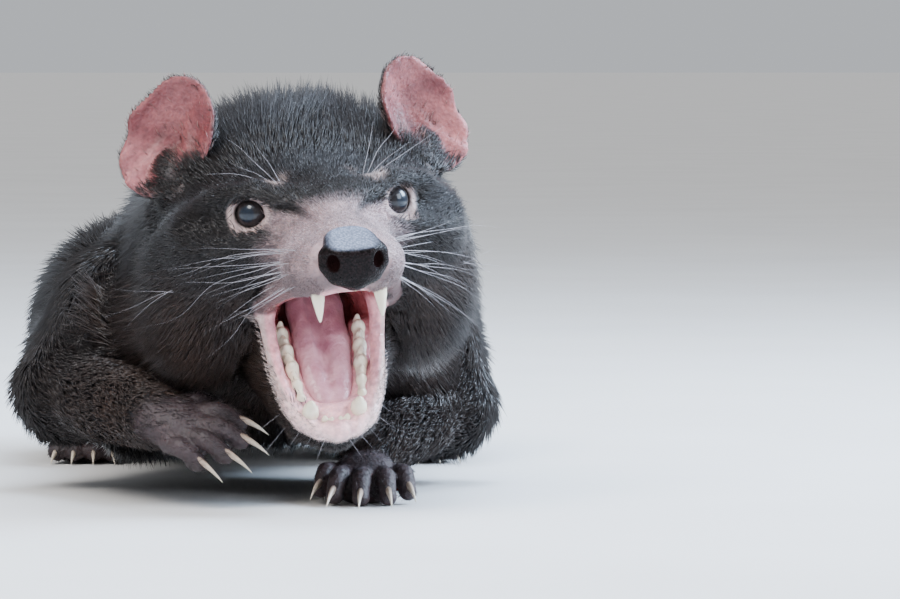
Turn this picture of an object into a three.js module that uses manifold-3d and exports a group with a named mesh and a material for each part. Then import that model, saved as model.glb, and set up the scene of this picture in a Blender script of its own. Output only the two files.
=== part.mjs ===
// A Tasmanian devil, life size. It crouches with its mouth wide open, its left forefoot planted and its right
// one raised.
// Millimetres, +Z up. The animal faces -Y and its left side is +X. The feet stand on z = 0.
import * as THREE from "three";
import { mergeVertices } from "three/addons/utils/BufferGeometryUtils.js";
import Module from "manifold-3d";

const wasm = await Module();
wasm.setup();

// Driving dimensions
const EYE_MID = [24, -241, 108]; // midway between the eyes, the origin of the head's own frame
const HEAD_TURN = [9.5, -5, 0]; // yaw to its left, roll with the left side up, pitch, in degrees
const CONDYLE = [0, 55, -12]; // the jaw's hinge line, in the head's frame
const JAW_DROP = 48.6; // of the lower tooth row below the palate, in degrees
const JAW_SWING = -3; // of the open jaw towards its right, in degrees
const EYE = { x: 24, y: 4.2, z: 0, r: 6.6, turn: 38 }; // it looks outward by `turn` degrees
const EAR = {
  x: 45.5, y: 46, z: 28, turn: 28, halfWidth: 17, halfHeight: 22.5, lean: 0.16, cup: 9, thick: 3.2,
};
const GAP = 0.3; // between two neighbouring solids
const FAN = [65, 35]; // tilts of the rings that round off the end of a wrapped shape, in degrees
const COAT = { muzzle: 0.6, crown: 9, body: 11, arm: 7.5, foot: 0.8, tail: 7 };

// Frames
const rad = THREE.MathUtils.degToRad;

function frame(parent, [x, y, z], yaw = 0, roll = 0, pitch = 0) {
  const turn = new THREE.Matrix4()
    .makeRotationZ(rad(yaw))
    .multiply(new THREE.Matrix4().makeRotationY(rad(roll)))
    .multiply(new THREE.Matrix4().makeRotationX(rad(pitch)));
  return parent.clone().multiply(new THREE.Matrix4().makeTranslation(x, y, z)).multiply(turn);
}

const WORLD = new THREE.Matrix4();
const HEAD = frame(WORLD, EYE_MID, ...HEAD_TURN);
const JAW = frame(HEAD, CONDYLE, JAW_SWING, 0, JAW_DROP);
const at = (base, x, y, z) => new THREE.Vector3(x, y, z).applyMatrix4(base);

// Distance shapes: each one gives the distance from a point to its surface, negative inside
function smoothMin(a, b, k) {
  const h = THREE.MathUtils.clamp(0.5 + (0.5 * (b - a)) / k, 0, 1);
  return b + (a - b) * h - k * h * (1 - h);
}

function ellipsoidDistance(x, y, z, rx, ry, rz) {
  const near = Math.hypot(x / rx, y / ry, z / rz);
  if (near < 1e-3) return -Math.min(rx, ry, rz);
  return (near * (near - 1)) / Math.hypot(x / rx ** 2, y / ry ** 2, z / rz ** 2);
}

function ball(base, centre, radii, k) {
  const inverse = base.clone().multiply(new THREE.Matrix4().makeTranslation(...centre)).invert();
  const p = new THREE.Vector3();
  const distance = (point) => {
    p.copy(point).applyMatrix4(inverse);
    return ellipsoidDistance(p.x, p.y, p.z, ...radii);
  };
  return { distance, k };
}

// A chain of elliptical sections [x, y, z, half width, half height]
function limbPoints(base, stations) {
  return stations.map(([x, y, z, rx, rz = rx]) => ({ p: at(base, x, y, z), rx, rz }));
}

function limb(base, stations, k) {
  const up = new THREE.Vector3(0, 0, 1).transformDirection(base);
  const s = limbPoints(base, stations);
  const links = s.slice(1).map((end, i) => {
    const along = end.p.clone().sub(s[i].p);
    const way = along.clone().normalize();
    const rise = up.clone().addScaledVector(way, -up.dot(way)).normalize();
    return { start: s[i], end, along, way, rise, side: way.clone().cross(rise) };
  });
  const q = new THREE.Vector3();
  const distance = (point) => {
    let best = Infinity;
    for (const { start, end, along, way, rise, side } of links) {
      q.copy(point).sub(start.p);
      const t = THREE.MathUtils.clamp(q.dot(along) / along.lengthSq(), 0, 1);
      q.addScaledVector(along, -t);
      const rx = THREE.MathUtils.lerp(start.rx, end.rx, t);
      const rz = THREE.MathUtils.lerp(start.rz, end.rz, t);
      const local = [q.dot(side), q.dot(way), q.dot(rise)];
      best = Math.min(best, ellipsoidDistance(...local, rx, Math.min(rx, rz), rz));
    }
    return best;
  };
  return { distance, k };
}

const joined = (shapes) => (p) => shapes.reduce((d, s) => smoothMin(d, s.distance(p), s.k), 30);

// Solids
function solid(positions, triangles) {
  const mesh = new wasm.Mesh({
    numProp: 3,
    vertProperties: new Float32Array(positions.flatMap((v) => [v.x, v.y, v.z])),
    triVerts: new Uint32Array(triangles.flat()),
  });
  const made = new wasm.Manifold(mesh);
  if (made.volume() > 0) return made;
  mesh.triVerts = new Uint32Array(triangles.flatMap(([a, b, c]) => [a, c, b]));
  return new wasm.Manifold(mesh);
}

// Rings of points, closed by a pole at each end
function ringed(rings, firstPole, lastPole) {
  const sides = rings[0].length;
  const points = [firstPole, ...rings.flat(), lastPole];
  const last = points.length - 1;
  const triangles = [];
  for (let j = 0; j < sides; j++) {
    const next = (j + 1) % sides;
    triangles.push([0, 1 + next, 1 + j]);
    for (let i = 0; i + 1 < rings.length; i++) {
      const a = 1 + i * sides;
      const b = a + sides;
      triangles.push([a + j, a + next, b + next], [a + j, b + next, b + j]);
    }
    const end = 1 + (rings.length - 1) * sides;
    triangles.push([last, end + j, end + next]);
  }
  return solid(points, triangles);
}

function spineFrames(spine, up) {
  return spine.map((p, i) => {
    const before = spine[Math.max(i - 1, 0)];
    const after = spine[Math.min(i + 1, spine.length - 1)];
    const way = after.clone().sub(before).normalize();
    const rise = up.clone().addScaledVector(way, -up.dot(way)).normalize();
    return { p, way, rise, side: way.clone().cross(rise) };
  });
}

// Where a ray from far outside, coming in along -direction towards start, first meets the shape
function meets(distance, level, start, direction, reach) {
  const STEP = 1.5;
  const p = new THREE.Vector3();
  const gap = (t) => distance(p.copy(start).addScaledVector(direction, t)) - level(p);
  let t = reach;
  while (t > 0.5 && gap(t) > 0) t -= STEP;
  let low = Math.max(t, 0.2);
  let high = t + STEP;
  for (let i = 0; i < 12; i++) {
    const middle = (low + high) / 2;
    if (gap(middle) > 0) high = middle;
    else low = middle;
  }
  return start.clone().addScaledVector(direction, low);
}

// A closed skin round a spine, out to where the shape and its coat end; its ends are rounded off like fans
function wrap(distance, coat, spine, sides, up, reach) {
  const frames = spineFrames(spine, up);
  const ring = ({ p, way, rise, side }, tilt) =>
    Array.from({ length: sides }, (_, j) => {
      const angle = (2 * Math.PI * j) / sides;
      const direction = side.clone().multiplyScalar(Math.cos(angle)).addScaledVector(rise, Math.sin(angle));
      direction.multiplyScalar(Math.cos(rad(tilt))).addScaledVector(way, Math.sin(rad(tilt)));
      return meets(distance, coat, p, direction, reach);
    });
  const first = frames[0];
  const last = frames.at(-1);
  const front = FAN.map((tilt) => ring(first, -tilt));
  const back = FAN.toReversed().map((tilt) => ring(last, tilt));
  return ringed(
    [...front, ...frames.map((f) => ring(f, 0)), ...back],
    meets(distance, coat, first.p, first.way.clone().negate(), reach),
    meets(distance, coat, last.p, last.way, reach),
  );
}

// A tube of elliptical sections with domed ends
function tube(base, stations, sides, grow = 0) {
  const s = limbPoints(base, stations);
  const up = new THREE.Vector3(0, 0, 1).transformDirection(base);
  const frames = spineFrames(s.map((n) => n.p), up);
  const DOME = 0.7;
  const ring = ({ p, rise, side, way }, { rx, rz }, share, shift) =>
    Array.from({ length: sides }, (_, j) => {
      const angle = (2 * Math.PI * (j + 0.5)) / sides;
      return p
        .clone()
        .addScaledVector(way, shift)
        .addScaledVector(side, (rx + grow) * share * Math.cos(angle))
        .addScaledVector(rise, (rz + grow) * share * Math.sin(angle));
    });
  const rings = frames.map((f, i) => ring(f, s[i], 1, 0));
  const [f0, f1] = [frames[0], frames.at(-1)];
  const [s0, s1] = [s[0], s.at(-1)];
  const cap = ({ rx, rz }) => Math.min(rx, rz) + grow;
  rings.unshift(ring(f0, s0, DOME, -DOME * cap(s0)));
  rings.push(ring(f1, s1, DOME, DOME * cap(s1)));
  return ringed(
    rings,
    f0.p.clone().addScaledVector(f0.way, -cap(s0)),
    f1.p.clone().addScaledVector(f1.way, cap(s1)),
  );
}

// A three.js geometry, placed by a matrix, as a solid
function placed(geometry, matrix) {
  const plain = geometry.clone().applyMatrix4(matrix);
  plain.deleteAttribute("normal");
  plain.deleteAttribute("uv");
  const merged = mergeVertices(plain, 1e-4);
  const p = merged.attributes.position;
  const points = Array.from({ length: p.count }, (_, i) => new THREE.Vector3().fromBufferAttribute(p, i));
  const index = Array.from(merged.index.array);
  const triangles = [];
  for (let i = 0; i < index.length; i += 3) {
    const [a, b, c] = index.slice(i, i + 3);
    if (a !== b && b !== c && c !== a) triangles.push([a, b, c]);
  }
  return solid(points, triangles);
}

// Everything on the side of a plane that its normal points to; `back` moves the plane against the normal
function halfSpace(point, normal, back = 0) {
  const SIDE = 1200;
  const turn = new THREE.Matrix4().makeRotationFromQuaternion(
    new THREE.Quaternion().setFromUnitVectors(new THREE.Vector3(0, 0, 1), normal),
  );
  const centre = point.clone().addScaledVector(normal, SIDE / 2 - back);
  turn.setPosition(centre);
  return placed(new THREE.BoxGeometry(SIDE, SIDE, SIDE), turn);
}

const largest = (made) => made.decompose().sort((a, b) => b.volume() - a.volume())[0];
const union = (solids) => solids.reduce((a, b) => a.add(b));

// Cuts a solid in two with a gap: [the side the normal points to, the other side]
function split(made, point, normal) {
  return [
    largest(made.intersect(halfSpace(point, normal, -GAP / 2))),
    largest(made.subtract(halfSpace(point, normal, GAP / 2))),
  ];
}

// Body plan: the same shapes as the skin, without the coat
const mirrored = (make) => [1, -1].flatMap(make);

const upperLip = (s) => [
  [0, -41, -24.2, 2.6], [s * 9, -38, -24.2, 2.6], [s * 15, -28.5, -24.6, 2.6],
  [s * 19.5, -15, -26, 2.8], [s * 22, 2, -29.5, 3.2], [s * 22.5, 14, -33, 4.5],
];
const lowerLip = (s) => [
  [s * 21, -36, 25, 4], [s * 20, -46, 17, 3], [s * 19, -55, 9.5, 2.8], [s * 17.8, -65, 4.5, 2.8],
  [s * 15.6, -76, 1.5, 3], [s * 12, -84.5, 1, 3], [s * 6.5, -89.2, 1, 3], [0, -90.2, 1, 3],
];
const mouthCorner = (s) => limb(JAW, [[s * 21, -38, 20, 4.5, 8], [s * 26, -22, 14, 8, 20]], 8);

const headShapes = [
  ball(HEAD, [0, 46, -4], [40, 42, 24], 8),
  ball(HEAD, [0, 12, 0], [24, 28, 10], 8),
  ...mirrored((s) => [
    ball(HEAD, [s * 24, 52, 3], [20, 26, 18], 8),
    ball(HEAD, [s * 31, 28, -12], [22, 32, 21], 10),
    ball(HEAD, [s * 33, 46, -30], [20.5, 27, 25], 12),
    ball(HEAD, [s * 21, 7, -13], [12, 16, 11], 8),
  ]),
  limb(
    HEAD,
    [[0, 8, -14, 25, 16], [0, -14, -15.5, 20, 13.5], [0, -30, -16.5, 17, 11.4], [0, -35, -16.2, 15, 10.6]],
    6,
  ),
  limb(HEAD, [[0, 10, -2, 10], [0, -36, -10, 6.5]], 8),
  ...mirrored((s) => [
    ball(HEAD, [s * 11.5, -27, -19.6], [9.5, 17, 9.6], 5),
    limb(HEAD, [[s * 12, -4, 2, 4], [s * 24, 0, 6.5, 4.5], [s * 35, 10, 3, 5]], 8),
    limb(HEAD, upperLip(s), 4),
    mouthCorner(s),
  ]),
];

const neckBack = at(HEAD, 0, 62, -10).toArray();
const throatTop = at(JAW, 0, -26, -24).toArray();
const backbone = [
  [4, -104, 96, 36, 34], [0, -40, 95, 37, 35], [0, 20, 93, 37, 36], [0, 66, 86, 36, 36], [0, 98, 76, 30, 32],
];
const ribs = [
  [2, -104, 59, 58, 36], [0, -40, 57, 64, 37], [0, 20, 58, 64, 38], [0, 66, 60, 60, 39], [0, 98, 62, 44, 35],
];
const trunkShapes = [
  limb(WORLD, [[...neckBack, 49, 41], [15, -142, 85, 57, 47], [4, -100, 88, 46, 42]], 14),
  limb(WORLD, [[...throatTop, 26, 22], [6, -150, 58, 44, 34]], 16),
  limb(WORLD, backbone, 18),
  limb(WORLD, ribs, 18),
  ...mirrored((s) => [
    ball(WORLD, [s * 44, -104, 50], [28, 44, 34], 16),
    ball(WORLD, [s * 54, 64, 50], [26, 42, 39], 14),
  ]),
];
const bodyDistance = joined([...headShapes, ...trunkShapes]);

// The coat's depth over the body: thin on the muzzle, full from the back of the head on
const headInverse = HEAD.clone().invert();
function bodyCoat(grow) {
  const p = new THREE.Vector3();
  return (point) => {
    p.copy(point).applyMatrix4(headInverse);
    const crown = THREE.MathUtils.smoothstep(p.y, -25, 45);
    const ruff = THREE.MathUtils.smoothstep(p.y, 45, 110);
    return grow + COAT.muzzle + (COAT.crown - COAT.muzzle) * crown + (COAT.body - COAT.crown) * ruff;
  };
}

const UP = new THREE.Vector3(0, 0, 1);
const headSpine = [-33, -26, -18, -9, 0, 9, 19, 30, 42, 54].map(
  (y) => at(HEAD, 0, y, -12 - Math.max(y - 20, 0) * 0.1),
);
const neckSpine = [[14, -168, 88], [8, -146, 84], [3, -124, 81]].map((p) => new THREE.Vector3(...p));
const backSpine = [-100, -75, -50, -25, 0, 25, 50, 72, 90, 106].map(
  (y) => new THREE.Vector3(0, y, 80 - Math.max(y - 40, 0) * 0.12),
);
const spine = [...headSpine, ...neckSpine, ...backSpine];
const bodyShell = (grow) => wrap(bodyDistance, bodyCoat(grow), spine, 20, UP, 125);

const jawBone = (s) => [
  [s * 33, -2, -4, 10, 16], [s * 22, -35, -9, 7, 13], [s * 15, -62, -8, 5.5, 10],
  [s * 10.5, -77, -5, 5.5, 8], [0, -83, -5, 6, 8],
];
const jawDistance = joined([
  ...mirrored((s) => [limb(JAW, jawBone(s), 5), limb(JAW, lowerLip(s), 4), mouthCorner(s)]),
  limb(JAW, [[0, -20, -22, 25, 14], [0, -50, -17, 17, 10], [0, -75, -11, 11, 6]], 8),
]);
const jawUp = new THREE.Vector3(0, 0, 1).transformDirection(JAW);
const jawSpine = [-26, -36, -44, -52, -60, -68, -75, -81, -86].map((y) => at(JAW, 0, y, -13));
const jawShell = (grow) => wrap(jawDistance, () => grow + 1.2, jawSpine, 20, jawUp, 60);

// The open mouth: the hollow under the palate, and the wedge between it and the tongue
const GAPE_MIDDLE = frame(HEAD, CONDYLE, JAW_SWING / 2, 0, JAW_DROP / 2);
const underPalate = [[0, -31, -40, 11, 9], [0, -14, -43, 16, 12], [0, 12, -46, 18, 16], [0, 30, -42, 14, 12]];
const gape = [[0, -36, -9.5, 12, 4], [0, -55, -9, 15, 11], [0, -76, -8, 13.5, 20], [0, -96, -6, 12, 27]];
const mouthHollow = union([
  tube(HEAD, underPalate, 10),
  tube(GAPE_MIDDLE, gape, 10),
]);

// Eyes, nose, ears
const eyeFrame = (s) => frame(HEAD, [s * EYE.x, EYE.y, EYE.z], s * EYE.turn);
const eyeball = (s, grow) => placed(new THREE.SphereGeometry(EYE.r + grow, 10, 7), eyeFrame(s));
const lidOpening = (s) => tube(eyeFrame(s), [[0, -1.5, 0, 5.6, 4.2], [0, -11, 0, 6.6, 5.4]], 12);

const noseShape = joined([
  ball(HEAD, [0, -43, -15], [11.8, 9, 8.5], 3),
  ball(HEAD, [0, -43.5, -20], [8, 8.4, 9], 4),
]);
const noseSpine = [-37, -41, -45, -48.5].map((y) => at(HEAD, 0, y, -16.5));
const noseSolid = (grow) => wrap(noseShape, () => grow, noseSpine, 12, UP, 30);

// The ear is a bowl, hollow side forward, of the same thickness all over
function ear(s) {
  const base = frame(HEAD, [s * EAR.x, EAR.y, EAR.z], s * EAR.turn, s * -10, -6);
  const RINGS = 3;
  const SIDES = 13;
  const bowl = (share, j, back) => {
    const angle = (2 * Math.PI * j) / SIDES;
    const z = share * EAR.halfHeight * Math.sin(angle);
    const x = s * (share * EAR.halfWidth * Math.cos(angle) - EAR.lean * z);
    return at(base, x, 5 - EAR.cup * share ** 2 + (back * EAR.thick) / 2, z);
  };
  const shares = Array.from({ length: RINGS }, (_, i) => (i + 1) / RINGS);
  const face = (back) => shares.map((share) => Array.from({ length: SIDES }, (_, j) => bowl(share, j, back)));
  return ringed([...face(-1), ...face(1).reverse()], bowl(0, 0, -1), bowl(0, 0, 1));
}

// Teeth are short cones, joined to the jaw that they grow from
function tooth(base, x, y, z, radius, length, tip, stretch = 1) {
  const geometry = new THREE.CylinderGeometry(radius * 0.25, radius, length, 5, 1);
  geometry.rotateX(Math.PI / 2); // the tip now points along +Z
  geometry.translate(0, 0, length / 2);
  geometry.scale(1, stretch, tip);
  return placed(geometry, frame(base, [x, y, z]));
}

// Tooth rows: [half width, how far forward, radius, length]
const UPPER_ROW = [
  [2.2, -39, 1.5, 4], [5.4, -38, 1.5, 4],
  [14, -23, 2.2, 5.5], [15.8, -15, 2.6, 6.5], [17.5, -6, 3, 8], [18.5, 3, 3, 9],
];
const LOWER_ROW = [
  [1.9, -86, 1.3, 7], [4.8, -85, 1.3, 7],
  [11, -74, 2, 8], [12, -67.5, 2.4, 8.5], [13, -60, 2.6, 9], [13.8, -52, 2.6, 9],
];
const upperTeeth = mirrored((s) => [
  ...UPPER_ROW.map(([x, y, r, l]) => tooth(HEAD, s * x, y, -27, r, l, -1, 1.2)),
  tooth(HEAD, s * 11, -33, -23, 3.6, 15, -1, 1.2),
]);
const lowerTeeth = mirrored((s) => [
  ...LOWER_ROW.map(([x, y, r, l]) => tooth(JAW, s * x, y, -4, r, l, 1, 1.2)),
  tooth(JAW, s * 8.6, -82.5, -2, 3, 12.5, 1, 1.2),
]);

// Legs
const ARMS = {
  left: { s: 1, shoulder: [50, -108, 70], elbow: [70, -98, 31], wrist: [42, -168, 20] },
  right: { s: -1, shoulder: [-47, -110, 62], elbow: [-69, -122, 38], wrist: [-38, -199, 32] },
};
const PAWS = {
  left: { base: frame(WORLD, [40, -178, 11.6], -4, 0, 4), spread: 1, curl: 18, clawLift: 22 },
  right: { base: frame(WORLD, [-34.8, -206, 30.9], 58, -42, 6), spread: 0.82, curl: 16, clawLift: 0 },
};
// The five toes of the left forefoot: [across, forward, length]
const FORE_TOES = [[-13, -7, 10], [-8.2, -16, 12.5], [-0.5, -19, 13.5], [7.2, -17, 13], [13, -10.5, 11]];
const FORE_CLAW = { length: 11.5, radius: 1.8, drop: 5.5 };
const HIND_TOES = [-9, -3, 3, 9];
const HIND_CLAW = { length: 11, radius: 1.9, drop: 5 };

const grown = (stations, by) => stations.map(([x, y, z, rx, rz = rx]) => [x, y, z, rx + by, rz + by]);

function claw(base, { length, radius, drop }) {
  const bend = (t) => [0, -length * t, -drop * t * t, Math.max(radius * (1 - t) ** 0.8, 0.3)];
  return tube(base, [0, 0.35, 0.7, 0.97].map(bend), 4);
}

function forePaw(side) {
  const { s } = ARMS[side];
  const { base, spread, curl, clawLift } = PAWS[side];
  const palm = [[0, 2, 1, 9, 7.4], [0, -8, -1, 11.6, 7.4], [0, -15, -4.2, 11.8, 7]];
  const toes = FORE_TOES.map(([across, y, length]) => {
    const x = across * s * spread;
    const toeBase = frame(base, [x, y, -1], x * 1.3, 0, curl);
    return {
      stations: [[0, 2, 0, 4], [0, -length * 0.55, 1.6, 3.8], [0, -length, -1.5, 3.3]],
      toeBase,
      clawBase: frame(toeBase, [0, -length + 1, 0.6], 0, 0, -clawLift),
    };
  });
  const flesh = (grow) =>
    union([
      tube(base, grown(palm, COAT.foot), 9, grow),
      ...toes.map((t) => tube(t.toeBase, grown(t.stations, 0.3), 6, grow)),
    ]);
  return { flesh, claws: toes.map((t) => t.clawBase) };
}

function foreLeg(side) {
  const { shoulder, elbow, wrist } = ARMS[side];
  const middle = elbow.map((v, i) => (v + wrist[i]) / 2);
  return (grow) =>
    union([
      tube(WORLD, grown([[...shoulder, 26], [...elbow, 16.5]], COAT.arm), 12, grow),
      tube(WORLD, grown([[...elbow, 15], [...middle, 12.5], [...wrist, 9.5]], COAT.arm * 0.6), 12, grow),
    ]);
}

function hindLeg(s) {
  const hip = [s * 56, 56, 53];
  const knee = [s * 67, 10, 40];
  const heel = [s * 62, 80, 16];
  const sole = [[s * 62, 82, 9, 9, 9], [s * 65, 42, 7, 11, 7.5], [s * 67, 18, 6.5, 12.5, 7]];
  const toes = HIND_TOES.map((x) => {
    const toeBase = frame(WORLD, [s * 67 + x, 14, 5], s * 3 + x * 1.2);
    const length = 12 - Math.abs(x) / 3;
    const clawBase = frame(toeBase, [0, 1 - length, 0.5]);
    return { stations: [[0, 4, 0, 4.6], [0, -length, 0.5, 4.2]], toeBase, clawBase };
  });
  return {
    knee,
    heel,
    thigh: (grow) => tube(WORLD, grown([[...hip, 28], [...knee, 18]], COAT.arm), 12, grow),
    shank: (grow) => tube(WORLD, grown([[...knee, 18], [...heel, 10]], COAT.arm * 0.6), 12, grow),
    foot: (grow) =>
      union([
        tube(WORLD, grown(sole, COAT.foot), 10, grow),
        ...toes.map((t) => tube(t.toeBase, grown(t.stations, 0.3), 6, grow)),
      ]),
    claws: toes.map((t) => t.clawBase),
  };
}

const TAIL = [
  [0, 112, 58, 27], [2, 158, 33, 18], [7, 192, 24, 15], [13, 224, 16, 12.5],
  [24, 262, 13, 10.5], [40, 300, 11, 8.5], [62, 342, 8, 5.5],
];

// Looks, kept plain here
const material = (color, roughness) => new THREE.MeshStandardMaterial({ color, roughness, metalness: 0 });
const LOOKS = {
  fur: material(0x1c1817, 0.8),
  ear: material(0xb06a66, 0.6),
  eye: material(0x1a0f0a, 0.1),
  nose: material(0x1a1414, 0.35),
  tongue: material(0xc07a80, 0.4),
  claw: material(0xcfc4b0, 0.4),
};

const devil = new THREE.Group();

function add(name, made, look) {
  const { numProp, vertProperties, triVerts } = made.getMesh();
  const count = vertProperties.length / numProp;
  const positions = new Float32Array(count * 3);
  for (let i = 0; i < count; i++) positions.set(vertProperties.subarray(i * numProp, i * numProp + 3), i * 3);
  const geometry = new THREE.BufferGeometry();
  geometry.setAttribute("position", new THREE.BufferAttribute(positions, 3));
  geometry.setIndex(new THREE.BufferAttribute(triVerts, 1));
  geometry.computeVertexNormals();
  const mesh = new THREE.Mesh(geometry, look);
  mesh.name = name;
  devil.add(mesh);
}

const floor = halfSpace(new THREE.Vector3(0, 0, 0), UP);

// Head, jaw and trunk are one body, parted by thin cuts
const hindLegs = { left: hindLeg(1), right: hindLeg(-1) };
const eyeSockets = union(mirrored((s) => [eyeball(s, GAP), lidOpening(s)]));
const bodyCutter = union([bodyShell(GAP), jawShell(GAP)]);
const whole = largest(
  union([bodyShell(0), jawShell(0)])
    .subtract(mouthHollow)
    .subtract(eyeSockets)
    .subtract(noseSolid(GAP))
    .subtract(union(Object.values(hindLegs).map((leg) => leg.foot(GAP)))),
);

const jawForward = new THREE.Vector3(0, -1, 0).transformDirection(JAW);
function jawRegion(grow) {
  const inFront = halfSpace(at(JAW, 0, -45, 0), jawForward, grow);
  const below = halfSpace(at(JAW, 0, 0, 15), jawUp.clone().negate(), grow);
  return inFront.intersect(below);
}
const lowerJaw = largest(whole.intersect(jawRegion(0)));
const rest = largest(whole.subtract(jawRegion(GAP)));

const [behind, head] = split(rest, at(HEAD, 0, 62, 0), new THREE.Vector3(0, 1, 0).transformDirection(HEAD));
const BACK = new THREE.Vector3(0, 1, 0);
const [fromChest, neck] = split(behind, new THREE.Vector3(0, -122, 0), BACK);
const [fromBelly, chest] = split(fromChest, new THREE.Vector3(0, -38, 0), BACK);
const [rump, belly] = split(fromBelly, new THREE.Vector3(0, 42, 0), BACK);

const headWithTeeth = union([head, ...upperTeeth]).subtract(noseSolid(GAP));
const jawWithTeeth = union([lowerJaw, ...lowerTeeth]);
add("head", headWithTeeth, LOOKS.fur);
add("lower_jaw", jawWithTeeth, LOOKS.fur);
add("neck", neck, LOOKS.fur);
add("chest", chest, LOOKS.fur);
add("belly", belly, LOOKS.fur);
add("nose", noseSolid(0), LOOKS.nose);
for (const [side, s] of [["left", 1], ["right", -1]]) {
  add("eye_" + side, eyeball(s, 0), LOOKS.eye);
  add("ear_" + side, largest(ear(s).subtract(bodyShell(GAP))), LOOKS.ear);
}

const tongueShape = [
  [0, -51, -2.5, 9, 4], [0, -62, -1.5, 8.4, 3.4], [0, -76, -0.5, 6.2, 2.6], [0, -81, 0.5, 4, 1.8],
];
const tongue = tube(JAW, tongueShape, 12).subtract(jawShell(GAP)).subtract(union(lowerTeeth));
add("tongue", largest(tongue), LOOKS.tongue);

// Tail
const tailWhole = tube(WORLD, grown(TAIL, COAT.tail * 0.8), 12).intersect(floor).subtract(bodyShell(GAP));
const tailWay = new THREE.Vector3(0.2, 0.98, 0).normalize();
const [tailTip, tailBase] = split(largest(tailWhole), new THREE.Vector3(12, 220, 0), tailWay);
add("rump", rump, LOOKS.fur);
add("tail_base", tailBase, LOOKS.fur);
add("tail_tip", tailTip, LOOKS.fur);

// Each leg is parted at its joints
for (const side of ["left", "right"]) {
  const { elbow, wrist } = ARMS[side];
  const paw = forePaw(side);
  const leg = union([foreLeg(side)(0), paw.flesh(0)]).subtract(bodyCutter).intersect(floor);
  const down = new THREE.Vector3(...wrist).sub(new THREE.Vector3(...elbow)).normalize();
  const elbowCut = new THREE.Vector3(...elbow).addScaledVector(down, 14);
  const wristCut = new THREE.Vector3(...wrist).addScaledVector(down, -4);
  const [below, upperArm] = split(largest(leg), elbowCut, down);
  const [foot, forearm] = split(below, wristCut, down);
  add("upper_arm_" + side, upperArm, LOOKS.fur);
  add("forearm_" + side, forearm, LOOKS.fur);
  add("forefoot_" + side, foot, LOOKS.fur);
  paw.claws.forEach((base, i) => {
    const made = claw(base, FORE_CLAW).subtract(paw.flesh(GAP)).intersect(floor);
    add("fore_claw_" + side + "_" + (i + 1), largest(made), LOOKS.claw);
  });
}
for (const [side, leg] of Object.entries(hindLegs)) {
  const foot = leg.foot(0).intersect(floor);
  const shank = leg.shank(0).subtract(leg.foot(GAP)).subtract(bodyCutter).intersect(floor);
  const around = union([leg.shank(GAP), leg.foot(GAP), bodyCutter]);
  const thigh = leg.thigh(0).subtract(around).intersect(floor);
  add("hindfoot_" + side, largest(foot), LOOKS.fur);
  add("shank_" + side, largest(shank), LOOKS.fur);
  add("thigh_" + side, largest(thigh), LOOKS.fur);
  leg.claws.forEach((base, i) => {
    const made = claw(base, HIND_CLAW).subtract(leg.foot(GAP)).intersect(floor);
    add("hind_claw_" + side + "_" + (i + 1), largest(made), LOOKS.claw);
  });
}

// The origin is the middle of the footprint of the whole animal, on the floor
const box = new THREE.Box3().setFromObject(devil);
const middle = box.getCenter(new THREE.Vector3());
devil.position.set(-middle.x, -middle.y, 0);

export default devil;
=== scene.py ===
"""The looks of a still Tasmanian devil.

One skin lies over the whole body and carries a coat of thin tufts. The eyes, nose, tongue, teeth, claws and
whiskers are pieces of their own. The body plan is in millimetres, in the same frame as the solids before
they were centred. +Z is up, the animal faces -Y and its left side is +X.
"""

import math
from itertools import product

import bmesh
import bpy
import numpy as np
from mathutils import Matrix, Vector, kdtree


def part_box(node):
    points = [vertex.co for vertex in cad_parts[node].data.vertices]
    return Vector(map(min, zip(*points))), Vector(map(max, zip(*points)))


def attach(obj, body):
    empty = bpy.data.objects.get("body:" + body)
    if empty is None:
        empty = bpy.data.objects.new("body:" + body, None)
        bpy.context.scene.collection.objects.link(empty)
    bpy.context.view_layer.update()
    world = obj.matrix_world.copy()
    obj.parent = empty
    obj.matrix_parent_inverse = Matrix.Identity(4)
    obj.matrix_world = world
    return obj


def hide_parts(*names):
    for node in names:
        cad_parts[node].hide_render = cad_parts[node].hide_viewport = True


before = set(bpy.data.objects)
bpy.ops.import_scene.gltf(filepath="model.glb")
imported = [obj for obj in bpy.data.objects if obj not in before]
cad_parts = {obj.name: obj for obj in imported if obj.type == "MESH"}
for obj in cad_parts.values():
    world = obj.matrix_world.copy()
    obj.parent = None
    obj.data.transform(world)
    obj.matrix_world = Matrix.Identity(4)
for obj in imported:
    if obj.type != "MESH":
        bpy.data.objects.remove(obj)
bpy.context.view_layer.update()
rng = np.random.default_rng(11)

# Driving dimensions, the same as those of the solids
EYE_MID = (24, -241, 108)
HEAD_YAW, HEAD_ROLL = 9.5, -5
CONDYLE = (0, 55, -12)
JAW_DROP = 48.6
JAW_SWING = -3
EYE = (24, 4.2, 0)
EYE_RADIUS = 6.6
EYE_TURN = 38
EAR = (45.5, 46, 28)
EAR_TURN = 28
EAR_HALF = (17, 22.5)
EAR_LEAN = 0.16
EAR_CUP = 9
SIDES = (1, -1)
SIDE_NAMES = {1: "left", -1: "right"}


def turn(axis, degrees):
    return np.array(Matrix.Rotation(math.radians(degrees), 3, axis))


class Frame:
    """A turned and shifted set of axes."""

    def __init__(self, rotation, origin):
        self.rotation = np.array(rotation, float)
        self.origin = np.array(origin, float)

    def out(self, points):
        return np.asarray(points, float) @ self.rotation.T + self.origin

    def into(self, points):
        return (points - self.origin) @ self.rotation

    def child(self, rotation, origin):
        return Frame(self.rotation @ rotation, self.out(origin))


WORLD = Frame(np.eye(3), (0, 0, 0))
HEAD = WORLD.child(turn("Z", HEAD_YAW) @ turn("Y", HEAD_ROLL), EYE_MID)
JAW = HEAD.child(turn("Z", JAW_SWING) @ turn("X", JAW_DROP), CONDYLE)


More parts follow.
